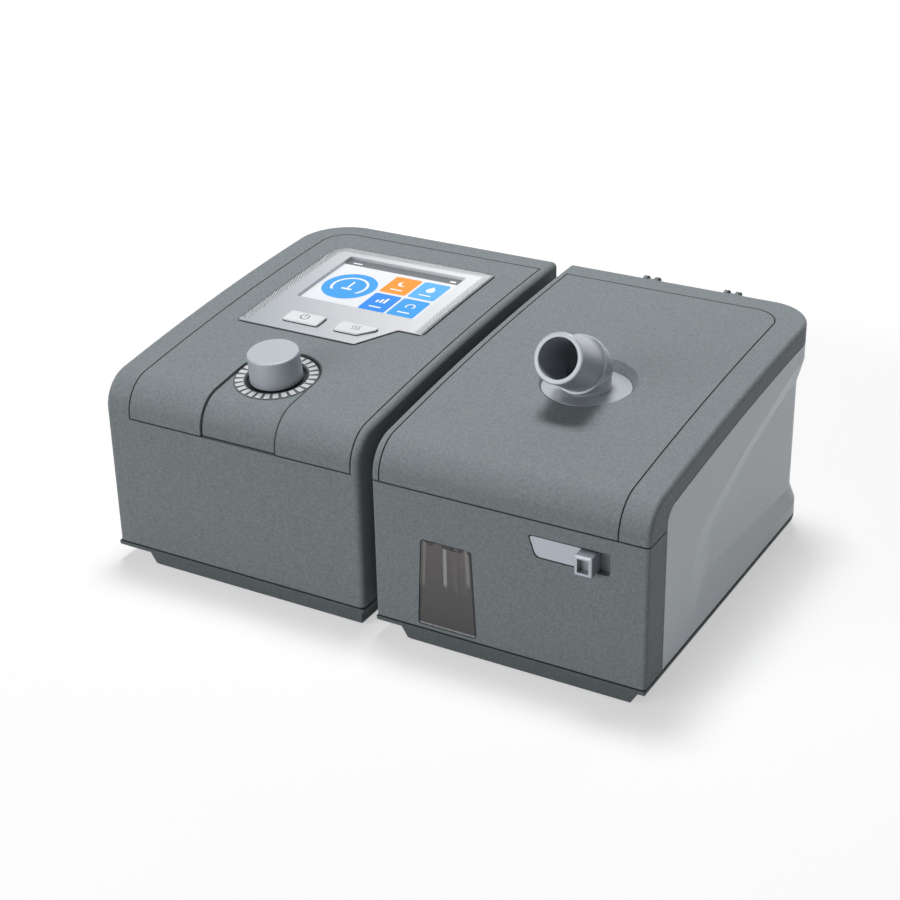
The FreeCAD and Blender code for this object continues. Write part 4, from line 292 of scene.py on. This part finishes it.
def grained_plastic(name, base, roughness=0.6, marks=None):
    """Moulded plastic with a spark-eroded grain; marks(finish, paint) adds to its colour."""
    finish = Finish(name)
    fine = finish.noise(CASE_GRAIN, 1.0)
    coarse = finish.noise(CASE_GRAIN * 2.6, 1.0)
    cloudy = finish.noise(30 * MM, 3.0)

    # Fine and coarse grains together, their contrast raised, speckle the colour.
    grains = (fine * 0.6 + coarse * 0.4).ramp(0.375, 0.625)
    grey = mottled(finish, grains, base, 0.85, 1.15)
    grey = finish.mixed(cloudy * 0.08, grey, shaded(base, 1.25))
    if marks:
        grey = marks(finish, grey)
    # Painted shade in the seams and along their edges.
    grey = painted_edge_shade(finish, painted_seam_shade(finish, grey))
    return finish.done(finish.surface(Base_Color=grey, Specular_IOR_Level=0.15,
                                      Normal=finish.bump(fine, CASE_RELIEF, MOULDED_EDGE),
                                      Roughness=cloudy.between(roughness - 0.04, roughness + 0.04)))


coated(grained_plastic("dark grained case plastic", CASE_TONE),
       "main_housing", "humidifier_housing", "lid_panel", "lid_frame")

# ------------------------------------------------------------------ trays, feet and screws
# The trays close the cases from below and are moulded in the same plastic, a little darker and
# smoother. Four black rubber feet are glued into each, and steel screws hold tray to housing.
tray_plastic = grained_plastic("darker tray plastic", tone(104, 111, 114), roughness=0.55)
coated(tray_plastic, "main_base", "humidifier_base")


def black_rubber():
    finish = Finish("black rubber")
    dust = finish.noise(4 * MM, 4.0)
    black = finish.mixed(dust, tone(24, 24, 25), tone(44, 44, 45))
    return finish.done(finish.surface(Base_Color=black, Roughness=dust.between(0.7, 0.85),
                                      Normal=finish.bump(dust, 0.05 * MM)))


coated(black_rubber(), "main_feet", "humidifier_feet", "port_seal", "chamber_port_seal",
       "chamber_seal", "lid_gasket", "blower_mounts")


def zinc_plated_steel():
    finish = Finish("zinc plated steel")
    brushed = finish.noise(0.6 * MM, 3.0)
    grey = mottled(finish, brushed, tone(176, 178, 180), 0.85, 1.1)
    return finish.done(finish.surface(Base_Color=grey, Metallic=1.0,
                                      Roughness=brushed.between(0.28, 0.48)))


coated(zinc_plated_steel(), "main_screws", "humidifier_screws", "hinge_pins", "motor_shaft",
       "chamber_plate", "heater_plate", "encoder_spindle")

# ------------------------------------------------------------------ side panel
# The humidifier's outer side carries a large snap-in panel, lacquered silver over a fine
# moulded grain, with a scooped grip in it.


def lacquered_silver(name, base, metal=0.12, roughness=0.4, grain=0.3 * MM, relief=0.005 * MM,
                     speckle=0.05, edge=MOULDED_EDGE, marks=None):
    """Silver lacquer; metal is the share of flake in it, marks(finish, paint) adds to its colour."""
    finish = Finish(name)
    flake = finish.noise(grain, 1.0)
    cloudy = finish.noise(20 * MM, 2.0)
    grey = mottled(finish, flake, base, 1 - speckle, 1 + speckle)
    if marks:
        grey = marks(finish, grey)
    # Painted shade in the seams.
    return finish.done(finish.surface(Base_Color=painted_seam_shade(finish, grey), Metallic=metal,
                                      Normal=finish.bump(flake, relief, edge),
                                      Roughness=cloudy.between(roughness - 0.05, roughness + 0.05)))


coated(lacquered_silver("silver side panel", tone(221, 230, 237), metal=0.0, roughness=0.45,
                        grain=CASE_GRAIN, relief=CASE_RELIEF, speckle=0.2), "side_panel")

# ------------------------------------------------------------------ dial
# A silver lacquered knob that turns and presses. It stands in a sunk tongue of the inset top
# panel, in a ring whose raised ticks are printed silver on dark ground.
PANEL_LEAN = math.radians(7.374)
TICK_PROUD = 0.3 * MM

# In millimetres: the tongue's round end, the seam beside it and its fade, and the knob's well; seam and
# well are painted as shade.
TONGUE_RADIUS, TONGUE_LINE, TONGUE_FADE, WELL_RADIUS = 19.4, 0.7, 0.3, 14.3


def box_in_mm(box):
    """The lowest and highest corner of a box, in millimetres."""
    return [Vector(corner) / MM for corner in box]


def spot_in_mm(finish):
    """The place on the machine that is being coloured, as three numbers in millimetres."""
    return [part / MM for part in finish.parts(finish.spot())]


def painted_dial_shade(finish, grey):
    """Painted shade in the well that the knob stands in and along the seam on the tongue's right side."""
    low, high = box_in_mm(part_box("dial_tick_ring"))
    middle = (low + high) / 2
    x, y, _ = spot_in_mm(finish)
    x, y = x - middle.x, y - middle.y
    away, behind = distance(x, y), y > 0.0
    seam_middle, seam_half = TONGUE_RADIUS + TONGUE_LINE / 2, TONGUE_LINE * 0.8
    off_seam = abs(away - seam_middle) * behind + abs(x - seam_middle) * (1 - behind)
    seam = off_seam.ramp(seam_half, seam_half - TONGUE_FADE) * (x > 0.0)
    # Painted shade: the well and the seam line are mixed to dark grey.
    return finish.mixed((seam * 0.9).larger(away < WELL_RADIUS), grey, tone(52, 57, 60))


def printed_ticks():
    """Silver on the ticks' tops and dark below them; the ring leans with the panel."""
    outwards = Vector((0, -math.sin(PANEL_LEAN), math.cos(PANEL_LEAN)))
    top = max(outwards.dot(corner.co) for corner in nodes["dial_tick_ring"].data.vertices)
    finish = Finish("printed tick ring")
    _, y, z = finish.parts(finish.spot())
    raised = (y * outwards.y + z * outwards.z) > top - TICK_PROUD / 2
    grey = finish.mixed(raised, tone(92, 99, 102), tone(206, 208, 208))
    return finish.done(finish.surface(Base_Color=grey,
                                      Roughness=finish.noise(0.5 * MM).between(0.4, 0.5)))


coated(lacquered_silver("silver knob", tone(182, 189, 196)), "knob")
coated(grained_plastic("dark grained top panel", CASE_TONE, marks=painted_dial_shade), "top_panel")
coated(printed_ticks(), "dial_tick_ring")

# ------------------------------------------------------------------ display
# A 3.2 inch colour display, bonded to its glass, in a silver bezel whose rim carries a fine
# slanted hatch on three sides. The picture on it is plain tiles with simple signs.

# In millimetres: the bezel's round corner, and the slanted step cut out of its front right.
BEZEL_CORNER, BEZEL_STEP, BEZEL_STEP_WIDTH, BEZEL_STEP_RUN = 9.0, 19.0, 12.7, 12.0

# In millimetres: the dark margin under the hatch, its darkest part and the outline all round, painted as
# the seam's shade;
# where the margin starts and where the step ends it; and how far the painted reflection takes to grow.
MARGIN, RIM_SHADE, SEAM_SHADE_WIDTH = 5.6, 2.0, 0.4
HATCH_START, STEP_REACH, STEP_CLEARANCE = 3.0, 24.0, 1.0
REFLECTION_RUN = 89.0


def bezel_margin(finish, silver):
    """Darkens the ground under the hatch, paints the seam's shade as a dark outline all round, and paints
    a reflection paler towards the back right.
    """
    low, high = box_in_mm(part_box("display_bezel"))
    x, y, _ = spot_in_mm(finish)
    from_left, from_right = x - low.x, high.x - x
    from_low, from_back = y - low.y, high.y - y
    over_x, over_y = (BEZEL_CORNER - from_left).larger(0.0), (BEZEL_CORNER - from_back).larger(0.0)
    from_rim = (BEZEL_CORNER - distance(over_x, over_y)).smaller(from_right)
    at_step = (from_low < BEZEL_STEP + STEP_CLEARANCE) * (from_right < STEP_REACH)
    on_three_sides = (from_low > HATCH_START) * (1 - at_step)
    slant = math.hypot(BEZEL_STEP, BEZEL_STEP_RUN)
    slant_x = high.x - BEZEL_STEP_WIDTH - BEZEL_STEP_RUN
    from_slant = (from_low * BEZEL_STEP_RUN - (x - slant_x) * BEZEL_STEP) / slant
    from_front = from_low.smaller(from_slant).larger(from_low - BEZEL_STEP)
    ground = from_rim.ramp(MARGIN, MARGIN * 2 / 3) * on_three_sides
    rim_shade = from_rim.ramp(RIM_SHADE, RIM_SHADE / 2) * on_three_sides

    # Painted reflection: the silver is painted paler towards the back right, and the margin's ground with
    # it.
    painted_reflection = (from_left * 0.6 + from_low * 0.4).ramp(0.0, REFLECTION_RUN)
    grey = finish.mixed(painted_reflection, silver, tone(246, 248, 250))
    grey = finish.mixed(ground * painted_reflection.between(0.8, 0.48), grey, tone(134, 141, 145))
    grey = finish.mixed(rim_shade * 0.8, grey, tone(92, 100, 104))
    # Painted shade of the seam: a dark outline all round.
    return finish.mixed(from_rim.smaller(from_front) < SEAM_SHADE_WIDTH, grey, tone(72, 78, 81))


coated(lacquered_silver("silver bezel", tone(162, 168, 174), marks=bezel_margin), "display_bezel")

# The picture's columns and rows, in millimetres from its middle, and the half width, half height
# and corner radius of its tiles, of the line below each sign and of the bar along the top.
LEFT, MIDDLE, RIGHT, HIGH, LOW = -16.4, 6.4, 22.0, 7.0, -12.6
TILE, SIGN_LINE, TOP_BAR = (7.2, 8.9, 1.4), (3.2, 0.5, 0.2), (40, 3.2, 0.1)
GAUGE_ROW, GAUGE_RADIUS, TOP_ROW = -2.8, 13.6, 21.8


class Picture:
    """Flat shapes on the display, in millimetres from its middle; each is 1 inside."""

    def __init__(self, finish):
        low, high = box_in_mm(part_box("display_window"))
        middle = (low + high) / 2
        x, y, _ = spot_in_mm(finish)
        self.x, self.y = x - middle.x, y - middle.y

    def tile(self, x, y, half_x, half_y, corner):
        """A rounded rectangle."""
        over_x = (abs(self.x - x) - (half_x - corner)).larger(0.0)
        over_y = (abs(self.y - y) - (half_y - corner)).larger(0.0)
        return distance(over_x, over_y) < corner

    def disc(self, x, y, radius):
        return distance(self.x - x, self.y - y) < radius

    def ring(self, x, y, radius, width):
        """The upper three quarters of a ring, as on a gauge."""
        line = self.disc(x, y, radius) - self.disc(x, y, radius - width)
        return line * (self.y > y - radius * 0.6)

    def drop(self, x, y, radius):
        """A water drop: a disc with a straight-sided point above it."""
        spread = (y + radius * 2.1 - self.y) * 0.62
        point = (abs(self.x - x) < spread) * (self.y > y + radius * 0.3)
        return self.disc(x, y, radius).larger(point * (spread < radius * 1.15))

    def moon(self, x, y, radius):
        """A crescent: what a second disc, up and to the right, leaves of the first."""
        bite = self.disc(x + radius * 0.5, y + radius * 0.35, radius)
        return (self.disc(x, y, radius) - bite).larger(0.0)


def display_picture():
    finish = Finish("display picture")
    picture = Picture(finish)
    blue, pale_blue, deep_blue, orange = (tone(46, 160, 240), tone(84, 180, 245),
                                          tone(14, 138, 242), tone(255, 152, 16))
    shapes = [
        (picture.tile(0, TOP_ROW, *TOP_BAR), tone(112, 116, 120)),
        (picture.disc(LEFT, GAUGE_ROW, GAUGE_RADIUS), blue),
        (picture.tile(MIDDLE, HIGH, *TILE), orange),
        (picture.tile(RIGHT, HIGH, *TILE), pale_blue),
        (picture.tile(MIDDLE, LOW, *TILE), deep_blue),
        (picture.tile(RIGHT, LOW, *TILE), blue),
    ]

    # The gauge's ring, the foot of its needle and the needle; then three bars that grow taller,
    # the line below each sign, the marks in the top bar, and the signs of the other tiles.
    gauge = [picture.ring(LEFT, GAUGE_ROW, 9.4, 1.2),
             picture.tile(LEFT, GAUGE_ROW - 3.0, 2.8, 0.7, 0.3),
             picture.tile(LEFT, GAUGE_ROW + 1.6, 0.5, 3.4, 0.4)]
    bars = [picture.tile(MIDDLE + shift, LOW + half, 0.6, half, 0.2)
            for shift, half in ((-2.0, 1.2), (0.0, 1.9), (2.0, 2.6))]
    lines = [picture.tile(x, y - 4.6, *SIGN_LINE) for x in (MIDDLE, RIGHT) for y in (HIGH, LOW)]
    marks = [picture.tile(x, TOP_ROW - 0.8, half_x, half_y, 0.2)
             for x, half_x, half_y in ((-26.5, 2.6, 0.5), (27.0, 1.6, 0.7))]
    signs = [*gauge, *bars, *lines, *marks, picture.moon(MIDDLE, HIGH + 2.0, 2.5),
             picture.drop(RIGHT, HIGH + 0.8, 2.1), picture.ring(RIGHT, LOW + 1.9, 2.5, 0.7)]

    # The ground gets paler upwards, and the shapes and then the white signs lie on it.
    paint = finish.mixed(picture.y.ramp(-50.0, 50.0), tone(226, 230, 235), tone(242, 244, 247))
    for inside, shade in shapes:
        paint = finish.mixed(inside, paint, shade)
    for inside in signs:
        paint = finish.mixed(inside, paint, tone(250, 252, 254))
    smear = finish.noise(20 * MM, 3.0)
    unlit = finish.mixed(0.1, tone(12, 13, 14), paint)
    return finish.done(finish.surface(Base_Color=unlit, Roughness=smear.between(0.12, 0.18),
                                      Emission_Color=paint, Emission_Strength=0.92,
                                      Specular_IOR_Level=0.2))


coated(display_picture(), "display_window")

# The hatch: a row of slim slanted blades, each running from the face out to the rim and ending
# there as a tooth. They are part of the bezel's moulding and are silvered with it.
BLADE_PITCH, BLADE_LENGTH, BLADE_WIDTH, BLADE_HEIGHT = 3.2 * MM, 13.0 * MM, 0.55 * MM, 0.2 * MM
BLADE_SLANT = math.radians(-160)

# As shares of a blade's length: where it is highest, and where it gets its full width.
BLADE_TIP, BLADE_SHOULDER = 0.02, 0.35

# The blades start on a path that lies inside the rim and above it, and are let down on the
# face, which is looked for from a height above the table and over a length below it.
RIM_INSET, PATH_LIFT = 0.3 * MM, 5 * MM
LOOK_HEIGHT, LOOK_LENGTH = 0.3, 1.0


def rim_path():
    """The rim from the bezel's front left corner round the back to the step on its right."""
    low, high = [Vector(corner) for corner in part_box("display_bezel")]
    left, far_right = low.x + RIM_INSET, high.x - RIM_INSET
    near, far = low.y + HATCH_START * MM, high.y - RIM_INSET
    bend = BEZEL_CORNER * MM - RIM_INSET
    turn = [(left + bend - bend * math.cos(angle), far - bend + bend * math.sin(angle))
            for angle in [math.radians(step) for step in range(0, 91, 15)]]
    places = [(left, near), *turn, (far_right, far), (far_right, near + BEZEL_STEP * MM)]
    curve = bpy.data.curves.new("bezel_rim", "CURVE")
    curve.dimensions = "3D"
    line = curve.splines.new("POLY")
    line.points.add(len(places) - 1)
    for point, (x, y) in zip(line.points, places):
        point.co = (x, y, high.z + PATH_LIFT, 1)
    return object_of("bezel_rim", curve)


def blade_mesh():
    """A blade along X: its point at the origin, its broad end low in the face."""
    mesh = bpy.data.meshes.new("hatch_blade")
    half = BLADE_WIDTH / 2
    places = [(0, 0, 0), (BLADE_SHOULDER, -half, 0), (1, -half, 0), (1, half, 0),
              (BLADE_SHOULDER, half, 0), (BLADE_TIP, 0, 1), (BLADE_SHOULDER, 0, 1), (1, 0, 0)]
    faces = [(0, 1, 6, 5), (1, 2, 7, 6), (2, 3, 7), (3, 4, 6, 7), (4, 0, 5, 6), (0, 4, 3, 2, 1)]
    mesh.from_pydata([(x * BLADE_LENGTH, y, z * BLADE_HEIGHT) for x, y, z in places], [], faces)
    return mesh


def hatch_tree(blade):
    """Blades stood along a path and then let down on the surface below it."""
    tree = bpy.data.node_groups.new("slanted hatch", "GeometryNodeTree")
    for name, kind in (("Rim", "Geometry"), ("Pitch", "Float"), ("Slant", "Float"),
                       ("Material", "Material")):
        tree.interface.new_socket(name, in_out="INPUT", socket_type="NodeSocket" + kind)
    tree.interface.new_socket("Hatch", in_out="OUTPUT", socket_type="NodeSocketGeometry")
    maker = Maker(tree)
    rim, pitch, slant, material, *_ = maker.outputs(maker.add("NodeGroupInput"))
    steps = maker.add("GeometryNodeResampleCurve", {"mode": "LENGTH"}, {"Curve": rim, "Length": pitch})
    along = maker.add("GeometryNodeInputTangent")
    turned = maker.add("FunctionNodeAlignRotationToVector", {"axis": "X"}, {"Vector": along})
    leant = maker.add("FunctionNodeRotateRotation", {"rotation_space": "LOCAL"}, {
        "Rotation": turned, "Rotate By": maker.add("ShaderNodeCombineXYZ", inputs={"Z": slant})})
    one = maker.add("GeometryNodeObjectInfo", {"transform_space": "ORIGINAL"},
                    {"Object": blade}, "Geometry")
    many = maker.add("GeometryNodeInstanceOnPoints",
                     inputs={"Points": steps, "Instance": one, "Rotation": leant})
    solid = maker.add("GeometryNodeRealizeInstances", inputs={"Geometry": many})
    bezel = maker.add("GeometryNodeObjectInfo", {"transform_space": "ORIGINAL"},
                      {"Object": nodes["display_bezel"]}, "Geometry")
    x, y, z = maker.parts(maker.add("GeometryNodeInputPosition"))
    above = maker.add("ShaderNodeCombineXYZ", inputs={"X": x, "Y": y, "Z": LOOK_HEIGHT})
    below = maker.add("GeometryNodeRaycast", inputs={
        "Target Geometry": bezel, "Source Position": above,
        "Ray Direction": (0, 0, -1), "Ray Length": LOOK_LENGTH}, out="Hit Position")
    _, _, surface = maker.parts(below)
    lowered = z - (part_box("display_bezel")[1][2] + PATH_LIFT) + surface
    place = maker.add("ShaderNodeCombineXYZ", inputs={"X": x, "Y": y, "Z": lowered})
    down = maker.add("GeometryNodeSetPosition", inputs={"Geometry": solid, "Position": place})
    coloured = maker.add("GeometryNodeSetMaterial", inputs={"Geometry": down, "Material": material})
    maker.add("NodeGroupOutput", inputs={"Hatch": coloured})
    return tree


def grown(tree, carrier, name, values):
    """Runs a geometry tree on a carrier object and keeps only its result, as a plain mesh."""
    modifier = carrier.modifiers.new("tree", "NODES")
    modifier.node_group = tree
    for socket in tree.interface.items_tree:
        if socket.name in values:
            modifier[socket.identifier] = values[socket.name]
    view = bpy.context.evaluated_depsgraph_get()
    mesh = bpy.data.meshes.new_from_object(carrier.evaluated_get(view))
    mesh.name = name
    bpy.data.objects.remove(carrier)
    return object_of(name, mesh)


blade = object_of("hatch_blade", blade_mesh())
hatch = grown(hatch_tree(blade), rim_path(), "bezel_hatch",
              {"Pitch": BLADE_PITCH, "Slant": BLADE_SLANT,
               "Material": lacquered_silver("bright silver hatch", tone(236, 239, 242))})
bpy.data.objects.remove(blade)
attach(hatch, "main_unit")

# ------------------------------------------------------------------ buttons
# Two glossy white keys through the bezel, for power and for the humidifier's heat, each with a
# printed grey sign. All lengths here are in millimetres.
KEY_CAP = 0.3
POWER_RADIUS, POWER_HALF_LINE, POWER_HALF_GAP, POWER_TOP = 2.1, 0.3, 0.9, 2.9
WAVE_TURN, WAVE_SWAY, WAVE_HALF_LINE, WAVE_HALF_HEIGHT, WAVE_APART = 1.9, 0.4, 0.26, 2.1, 1.6


def printed_key(name, node, sign):
    """White cap; the key's sides below it are painted dark grey as shade; sign(x, y) gives 1 where its
    print is.
    """
    low, high = box_in_mm(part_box(node))
    middle = (low + high) / 2
    finish = Finish(name)
    x, y, z = spot_in_mm(finish)
    depth = ((y - high.y) * math.tan(PANEL_LEAN) + (high.z - z)) * math.cos(PANEL_LEAN)
    white = finish.mixed(finish.noise(10 * MM), tone(226, 228, 230), tone(234, 236, 238))
    printed = finish.mixed(sign(x - middle.x, y - middle.y), white, tone(110, 116, 122))
    # Painted shade: the key's sides below its cap are dark grey.
    cap_over_shade = finish.mixed(depth > KEY_CAP, printed, tone(70, 75, 78))
    return finish.done(finish.surface(Base_Color=cap_over_shade, Roughness=0.24, Coat_Weight=0.3,
                                      Coat_Roughness=0.1))


def power_sign(x, y):
    """A ring open at the top, with a short upright line in the opening."""
    opening = (abs(x) < POWER_HALF_GAP) * (y > 0.0)
    ring = (abs(distance(x, y) - POWER_RADIUS) < POWER_HALF_LINE) * (1 - opening)
    return ring.larger((abs(x) < POWER_HALF_LINE) * (y > POWER_HALF_LINE) * (y < POWER_TOP))


def heat_sign(x, y):
    """Three short waves side by side."""
    sway = (y * WAVE_TURN).math("SINE") * WAVE_SWAY
    left, middle, right = [abs(x + sway - shift) < WAVE_HALF_LINE
                           for shift in (-WAVE_APART, 0.0, WAVE_APART)]
    return (abs(y) < WAVE_HALF_HEIGHT) * left.larger(middle).larger(right)


coated(printed_key("white power key", "power_button", power_sign), "power_button")
coated(printed_key("white humidity key", "humidity_button", heat_sign), "humidity_button")

# ------------------------------------------------------------------ water window
# A smoked pane in the humidifier's front, flush in its frame. The tub behind it is painted on the pane
# with its light and shade:
# a dark space, paler upwards, with a pale rib in the middle and one at each side, the right one a painted
# glare, drops on top and a pale sill below.
PANE_HALF_BELOW, PANE_HALF_ABOVE, RIB_PLACE = 13.8, 11.7, -0.6

# Heights as shares of the pane's: where each thing behind it starts or ends, and their fades.
WALL_FOOT, GLARE_FOOT, RIB_FOOT, RIB_TOP = 0.44, 0.56, 0.50, 0.96
DROPS_FOOT, SILL_TOP = 0.955, 0.022
FOOT_FADE, RIB_FADE = 1 / 12, 1 / 20


def smoked_pane():
    """Places across are millimetres; height runs from 0 at the pane's foot to 1 at its top."""
    low, high = box_in_mm(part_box("chamber_window"))
    flange = (high.x - low.x) / 2 - PANE_HALF_BELOW
    finish = Finish("smoked window pane")
    x, _, z = finish.parts(finish.spot())
    across = x / MM - (low.x + high.x) / 2
    height = (z / MM - (low.z + flange)) / (high.z - low.z - 2 * flange)
    from_right = height.between(PANE_HALF_BELOW, PANE_HALF_ABOVE) - across
    from_left = from_right + across * 2.0
    walls = height.ramp(WALL_FOOT, WALL_FOOT + FOOT_FADE)
    glare = height.ramp(GLARE_FOOT, GLARE_FOOT + FOOT_FADE)
    rib = height.ramp(RIB_FOOT, RIB_FOOT + RIB_FADE) * (height < RIB_TOP)

    # Upright bands: measured from, middle, half width, fade, where and how much it shows, tone.
    bands = [
        (from_left, 1.7, 0.8, 0.4, walls * 0.55, tone(146, 144, 142)),
        # A painted glare on the pane.
        (from_right, 2.1, 1.2, 0.7, glare * 0.7, tone(156, 152, 150)),
        (across, RIB_PLACE, 1.0, 0.4, rib * 0.75, tone(178, 178, 184)),
        (from_right, 0.3, 0.65, 0.4, 1.0, tone(52, 56, 57)),
        (from_left, 0.2, 0.6, 0.4, 1 - walls, tone(52, 56, 57)),
    ]
    drawn_out = finish.add("ShaderNodeCombineXYZ", inputs={"X": x, "Z": z * 0.08})
    runs = finish.noise(2.5 * MM, 2.0, drawn_out).ramp(0.45, 0.45 + 1 / 3)
    drops = finish.noise(2 * MM, 1.0)
    # Painted shade of the tub's inside: dark grey, paler upwards.
    grey = finish.mixed(height, tone(82, 82, 82), tone(106, 103, 102))
    grey = finish.mixed(runs * walls * (across > RIB_PLACE) * 0.35, grey, tone(140, 135, 138))
    for place, middle, half, fade, share, shade in bands:
        grey = finish.mixed(abs(place - middle).ramp(half, half - fade) * share, grey, shade)
    grey = finish.mixed((height > DROPS_FOOT) * drops.ramp(0.4, 0.4 + 1 / 6) * 0.85, grey,
                        tone(44, 48, 50))
    grey = finish.mixed((height < SILL_TOP) * drops.between(0.1, 1.0), grey, tone(196, 196, 198))
    streaks = finish.noise(8 * MM, 2.0)
    return finish.done(finish.surface(Base_Color=grey, Roughness=streaks.between(0.14, 0.24),
                                      Specular_IOR_Level=0.3))


coated(smoked_pane(), "chamber_window")

# ------------------------------------------------------------------ latch
# A silver slide in a pocket of the humidifier's front; pushed along, it lets the lid go. The top and sides
# of its thumb block and its hollow are painted darker grey, as shade. All lengths here are in millimetres.
BLOCK_WIDTH, BLOCK_FRAME = 7.8, 1.4
SIDE_SHADE_DEPTH, HOLLOW_FRONT, HOLLOW_BACK, BLOCK_CLEARANCE = 0.35, 0.9, 3.5, 0.1


def painted_block_shade(finish, silver):
    """Painted shade: the thumb block's top and sides and its hollow are painted darker grey."""
    low, high = box_in_mm(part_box("latch_slider"))
    x, y, z = spot_in_mm(finish)
    deep = y - low.y
    in_width = abs(x - (high.x - BLOCK_WIDTH / 2)) < (BLOCK_WIDTH - BLOCK_FRAME) / 2
    in_height = abs(z - (low.z + high.z) / 2) < (high.z - low.z - BLOCK_FRAME) / 2
    hollow = in_width * in_height * (deep > HOLLOW_FRONT) * (deep < HOLLOW_BACK)
    sides = (x > high.x - BLOCK_WIDTH - BLOCK_CLEARANCE) * (deep > SIDE_SHADE_DEPTH)
    # Painted shade on the block's top and sides, then in its hollow.
    shaded_sides = finish.mixed(sides, silver, tone(152, 158, 165))
    return finish.mixed(hollow, shaded_sides, tone(150, 158, 160))


coated(lacquered_silver("silver latch", tone(192, 197, 206), metal=0.3, roughness=0.36,
                        edge=0.15 * MM, marks=painted_block_shade), "latch_slider")

# ------------------------------------------------------------------ air outlet
# The elbow turns in a dished seat in the lid, on a clip ring with a seal. All three are moulded
# and lacquered silver grey, a little glossier than the other silver pieces.
coated(lacquered_silver("silver grey outlet", tone(176, 182, 188), metal=0.2, roughness=0.34),
       "elbow", "outlet_seat", "elbow_ring")

# ------------------------------------------------------------------ lid's inside and water chamber
# Under the lid a grey liner closes its shell. The chamber is a clear polycarbonate tub with a lid
# of its own, which stands on a metal heating plate and takes its air through the spigot.


def clear_polycarbonate():
    finish = Finish("clear chamber polycarbonate")
    haze = finish.noise(10 * MM, 3.0)
    grey = mottled(finish, haze, tone(190, 202, 208), 0.96, 1.04)
    return finish.done(finish.surface(Base_Color=grey, Roughness=haze.between(0.1, 0.18), Alpha=0.45))


coated(clear_polycarbonate(), "chamber_tub", "chamber_lid", "inlet_spigot")
coated(grained_plastic("grey liner plastic", tone(122, 128, 131), roughness=0.42), "lid_liner")

# ------------------------------------------------------------------ works inside the cases
# The blower, the heater's frame and the small carriers are moulded in black nylon. An open foam
# filter lies behind its snap-in grille, and the circuit boards are green.


def moulded_nylon():
    finish = Finish("black nylon")
    mottle = finish.noise(3 * MM, 3.0)
    black = finish.mixed(mottle, tone(34, 36, 38), tone(46, 48, 50))
    return finish.done(finish.surface(Base_Color=black, Roughness=mottle.between(0.4, 0.55)))


def open_foam():
    finish = Finish("filter foam")
    cells = finish.add("ShaderNodeTexVoronoi",
                       inputs={"Vector": finish.spot(), "Scale": 1 / (1.4 * MM)})
    grey = finish.mixed((cells * 1.4).clipped(), tone(40, 42, 44), tone(120, 124, 126))
    return finish.done(finish.surface(Base_Color=grey, Roughness=0.95,
                                      Normal=finish.bump(cells, 0.4 * MM)))


def green_board():
    finish = Finish("green circuit board")
    tracks = finish.noise(2 * MM, 0.0)
    green = finish.mixed(tracks > 0.55, tone(24, 78, 52), tone(38, 104, 68))
    return finish.done(finish.surface(Base_Color=green, Roughness=0.4))


coated(moulded_nylon(), "encoder_body", "lcd_module", "lcd_carrier", "button_switches",
       "volute_base", "volute_cover", "impeller", "blower_motor", "power_inlet", "heater_frame")
coated(open_foam(), "inlet_filter")
coated(tray_plastic, "filter_cover")
coated(green_board(), "control_board", "main_board")
